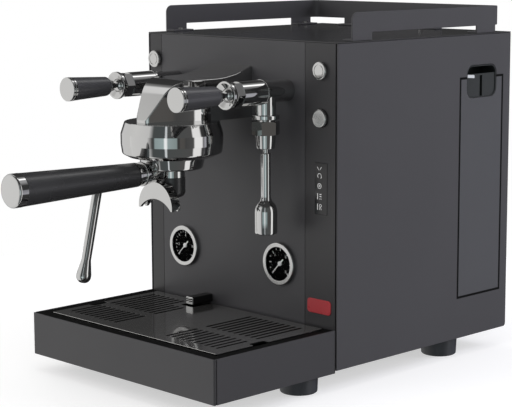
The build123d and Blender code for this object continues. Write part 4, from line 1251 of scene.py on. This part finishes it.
# Display signs: five small plain marks, one above the other
display = {
    "x": 124.6,
    "front": 2.6,
    "ink": 0.06,
    "stroke": 0.75,
    # bars as left, right, low and high; arcs as radius, first and last degree, centre and steps
    "signs": [
        {"level": 236.4, "strokes": [((-3.2, 1.6), (-1.0, -1.6)), ((0.4, -1.6), (3.0, 1.8))]},
        {
            "level": 228.5,
            "arcs": [(2.6, -140, 120, (0, 0), 20)],
            "strokes": [((1.6, -2.4), (3.2, -1.2))],
        },
        {"level": 217.8, "arcs": [(2.6, 0, 360, (0, 0), 28), (0.9, 0, 360, (0, 0), 14)]},
        {
            "level": 206.6,
            "bars": [
                (-3.2, -2.1, -3.2, 3.2), (0.0, 3.0, 1.9, 2.9), (0.0, 3.0, -0.4, 0.6),
                (0.0, 1.1, -3.0, -2.0), (1.9, 3.0, -3.0, -2.0),
            ],
        },
        {
            "level": 195.5,
            "bars": [(-3.2, -2.1, -3.2, 3.2)],
            "arcs": [(1.5, -180, 180, (1.4, 1.4), 16)],
            "strokes": [((0.2, -0.6), (0.2, -3.2)), ((1.4, -0.6), (3.0, -3.0))],
        },
    ],
}


def barMark(left, right, low, high):
    return [[(left, low), (left, high), (right, high), (right, low)]]


def arcMark(stroke, radius, first, last, centre, steps):
    outer = []
    inner = []
    for step in range(steps + 1):
        angle = math.radians(first + (last - first) * step / steps)
        direction = Vector((math.sin(angle), math.cos(angle)))
        outer.append(Vector(centre) + direction * (radius + stroke / 2))
        inner.append(Vector(centre) + direction * (radius - stroke / 2))
    return [[outer[k], outer[k + 1], inner[k + 1], inner[k]] for k in range(steps)]


def strokeMark(stroke, start, end):
    start, end = Vector(start), Vector(end)
    along = (end - start).normalized()
    across = Vector((-along.y, along.x)) * stroke / 2
    return [[start + across, end + across, end - across, start - across]]


def signOutlines(sign, stroke):
    outlines = []
    for bar in sign.get("bars", []):
        outlines += barMark(*bar)
    for arc in sign.get("arcs", []):
        outlines += arcMark(stroke, *arc)
    for line in sign.get("strokes", []):
        outlines += strokeMark(stroke, *line)
    return outlines


def makeDisplaySigns(values):
    shape = bmesh.new()
    front = (values["front"] - values["ink"]) * mm
    for sign in values["signs"]:
        for outline in signOutlines(sign, values["stroke"]):
            corners = []
            for x, z in outline:
                place = ((values["x"] + x) * mm, front, (sign["level"] + z) * mm)
                corners.append(shape.verts.new(place))
            shape.faces.new(corners)
    bmesh.ops.remove_doubles(shape, verts=shape.verts, dist=meshing["fineWeld"])
    thicken(shape, (0, values["ink"] * mm, 0))
    mesh = finishMesh(shape, "displaySigns", materials["needleWhite"])
    attach(addPiece("displaySigns", mesh), "machine")


makeDisplaySigns(display)
print("display ready")


# Floor and light
studio = {
    "floorRadius": 0.75,
    "floorSides": 96,
    "floorColor": (0.55, 0.55, 0.55, 1),
    "floorRough": 0.9,
    "floorGloss": 0.1,
    "floorGlow": 0.55,
    "worldLight": 0.42,
    "aim": (0, 0, 0.2),
    # place, size, power and colour
    "lamps": {
        "keyLight": ((-1.5, -2.0, 1.5), (1.8, 1.8), 26.0, (1.0, 0.98, 0.97)),
        "sideLight": ((1.5, 1.9, 1.1), (1.0, 1.8), 46.0, (0.88, 0.88, 1.0)),
        "fillLight": ((2.2, -1.3, 0.9), (0.8, 1.2), 7.0, (0.95, 0.95, 1.0)),
        "topLight": ((0.2, -0.3, 2.3), (1.4, 1.4), 11.0, (1.0, 1.0, 1.0)),
        "leftLight": ((-2.2, 0.7, 0.9), (1.0, 1.6), 12.0, (1.0, 1.0, 1.0)),
    },
    # what polished metal sees around it: degrees from the front towards the right, and a tone
    "surround": [
        (-180, 0.03), (-108, 0.05), (-98, 0.84), (-45, (0.95, 0.95, 0.94)), (-8, 0.86),
        (3, (0.1, 0.11, 0.11)), (31, (0.1, 0.115, 0.12)), (33, (1.00, 1.05, 1.08)),
        (36, (1.00, 1.05, 1.08)), (38, (0.11, 0.12, 0.12)), (97, 0.12), (100, 1.25), (118, 1.25),
        (122, 0.06), (180, 0.03),
    ],
    # the same near the horizon, with a pale window ahead
    "horizon": [
        (-180, 0.03), (-108, 0.05), (-98, 0.84), (-60, (0.92, 0.92, 0.91)), (-57, 1.05),
        (-54, (0.96, 0.96, 0.95)), (-8, 0.88), (3, 0.1), (8, (0.08, 0.09, 0.09)),
        (10, (0.42, 0.52, 0.53)), (30, (0.5, 0.62, 0.63)), (32, (1.35, 1.4, 1.42)),
        (37, (1.35, 1.4, 1.42)), (39, (0.46, 0.56, 0.57)), (59, (0.36, 0.44, 0.44)), (61, 0.07),
        (65, 0.07), (67, (0.13, 0.125, 0.12)), (76, (0.12, 0.115, 0.11)), (79, 0.09), (98, 0.12),
        (101, 1.3), (119, 1.3), (123, (0.12, 0.12, 0.13)), (127, (0.55, 0.55, 0.6)),
        (160, (0.58, 0.58, 0.63)), (168, 0.05), (180, 0.03),
    ],
    # overhead: dark, with a soft panel at the left and one towards the back
    "ceiling": [
        (-180, (0.5, 0.5, 0.51)), (-168, 0.3), (-158, 0.06), (-98, 0.06), (-92, 1.1),
        (-72, 1.1), (-66, 0.06), (118, 0.06), (128, (0.5, 0.5, 0.51)),
        (160, (0.5, 0.5, 0.51)), (164, 2.2), (175, 2.2), (178, (0.5, 0.5, 0.51)),
    ],
    # heights of the direction: where the horizon's band ends, and where the ceiling begins
    "band": {"middle": -0.12, "inner": 0.15, "outer": 0.24},
    "overhead": {"low": 0.5, "high": 0.72},
}
white = (1, 1, 1, 1)


def shownRays(tree):
    # the light path, and the rays that show the pale background
    rays = addNode(tree, "ShaderNodeLightPath").outputs
    return rays, mathNode(tree, "MAXIMUM", rays["Is Camera Ray"], rays["Is Transmission Ray"])


def makeFloor(values):
    material, tree, shader = newMaterial("paleFloor")
    feedAll(
        tree,
        shader,
        Base_Color=values["floorColor"],
        Roughness=values["floorRough"],
        Specular_IOR_Level=values["floorGloss"],
        Emission_Color=white,
        Emission_Strength=mathNode(tree, "MULTIPLY", shownRays(tree)[1], values["floorGlow"]),
    )
    shape = bmesh.new()
    sides, radius = values["floorSides"], values["floorRadius"]
    bmesh.ops.create_circle(shape, cap_ends=True, segments=sides, radius=radius)
    floor = addPiece("studioFloor", finishMesh(shape, "studioFloor", material))
    # polished metal sees the surround on below the floor's line
    floor.visible_glossy = False


def makeRamp(tree, share, stops):
    ramp = addNode(tree, "ShaderNodeValToRGB", Fac=share)
    elements = ramp.color_ramp.elements
    while len(elements) < len(stops):
        elements.new(0.5)
    for element, (degrees, tone) in zip(elements, stops):
        color = tone if isinstance(tone, tuple) else (tone, tone, tone)
        element.position = degrees / 360 + 0.5
        element.color = (*color, 1)
    return ramp.outputs["Color"]


def makeWorld(values):
    world = bpy.data.worlds.new("studioWorld")
    scene.world = world
    world.use_nodes = True
    tree = world.node_tree
    rays, seen = shownRays(tree)
    direction = addNode(tree, "ShaderNodeTexCoord").outputs["Generated"]
    direction = addNode(tree, "ShaderNodeSeparateXYZ", Vector=direction).outputs
    towardsFront = mathNode(tree, "MULTIPLY", direction["Y"], -1.0)
    azimuth = mathNode(tree, "ARCTAN2", direction["X"], towardsFront)
    share = mathNode(tree, "MULTIPLY_ADD", azimuth, 0.5 / math.pi, 0.5)
    band, overhead = values["band"], values["overhead"]
    offset = mathNode(tree, "SUBTRACT", direction["Z"], band["middle"])
    distance = mathNode(tree, "ABSOLUTE", offset)
    near = ranged(tree, distance, band["inner"], band["outer"], 1.0, 0.0)
    high = ranged(tree, direction["Z"], overhead["low"], overhead["high"])
    surround = makeRamp(tree, share, values["surround"])
    horizon = makeRamp(tree, share, values["horizon"])
    ceiling = makeRamp(tree, share, values["ceiling"])
    around = blended(tree, high, blended(tree, near, surround, horizon), ceiling)
    level = values["worldLight"]
    mirror = blended(tree, rays["Is Glossy Ray"], (level, level, level, 1), around)
    shown = blended(tree, seen, mirror, white)
    tree.links.new(shown, tree.nodes["Background"].inputs["Color"])


def makeLamp(name, place, size, power, color):
    data = bpy.data.lights.new(name, "AREA")
    data.shape = "RECTANGLE"
    data.size, data.size_y = size
    data.energy = power
    data.color = color
    lamp = addPiece(name, data)
    lamp.location = place
    aim = Vector(studio["aim"]) - Vector(place)
    lamp.rotation_euler = aim.to_track_quat("-Z", "Y").to_euler()
    lamp.visible_glossy = False


makeFloor(studio)
makeWorld(studio)
for lampName, lampValues in studio["lamps"].items():
    makeLamp(lampName, *lampValues)
print("studio ready")
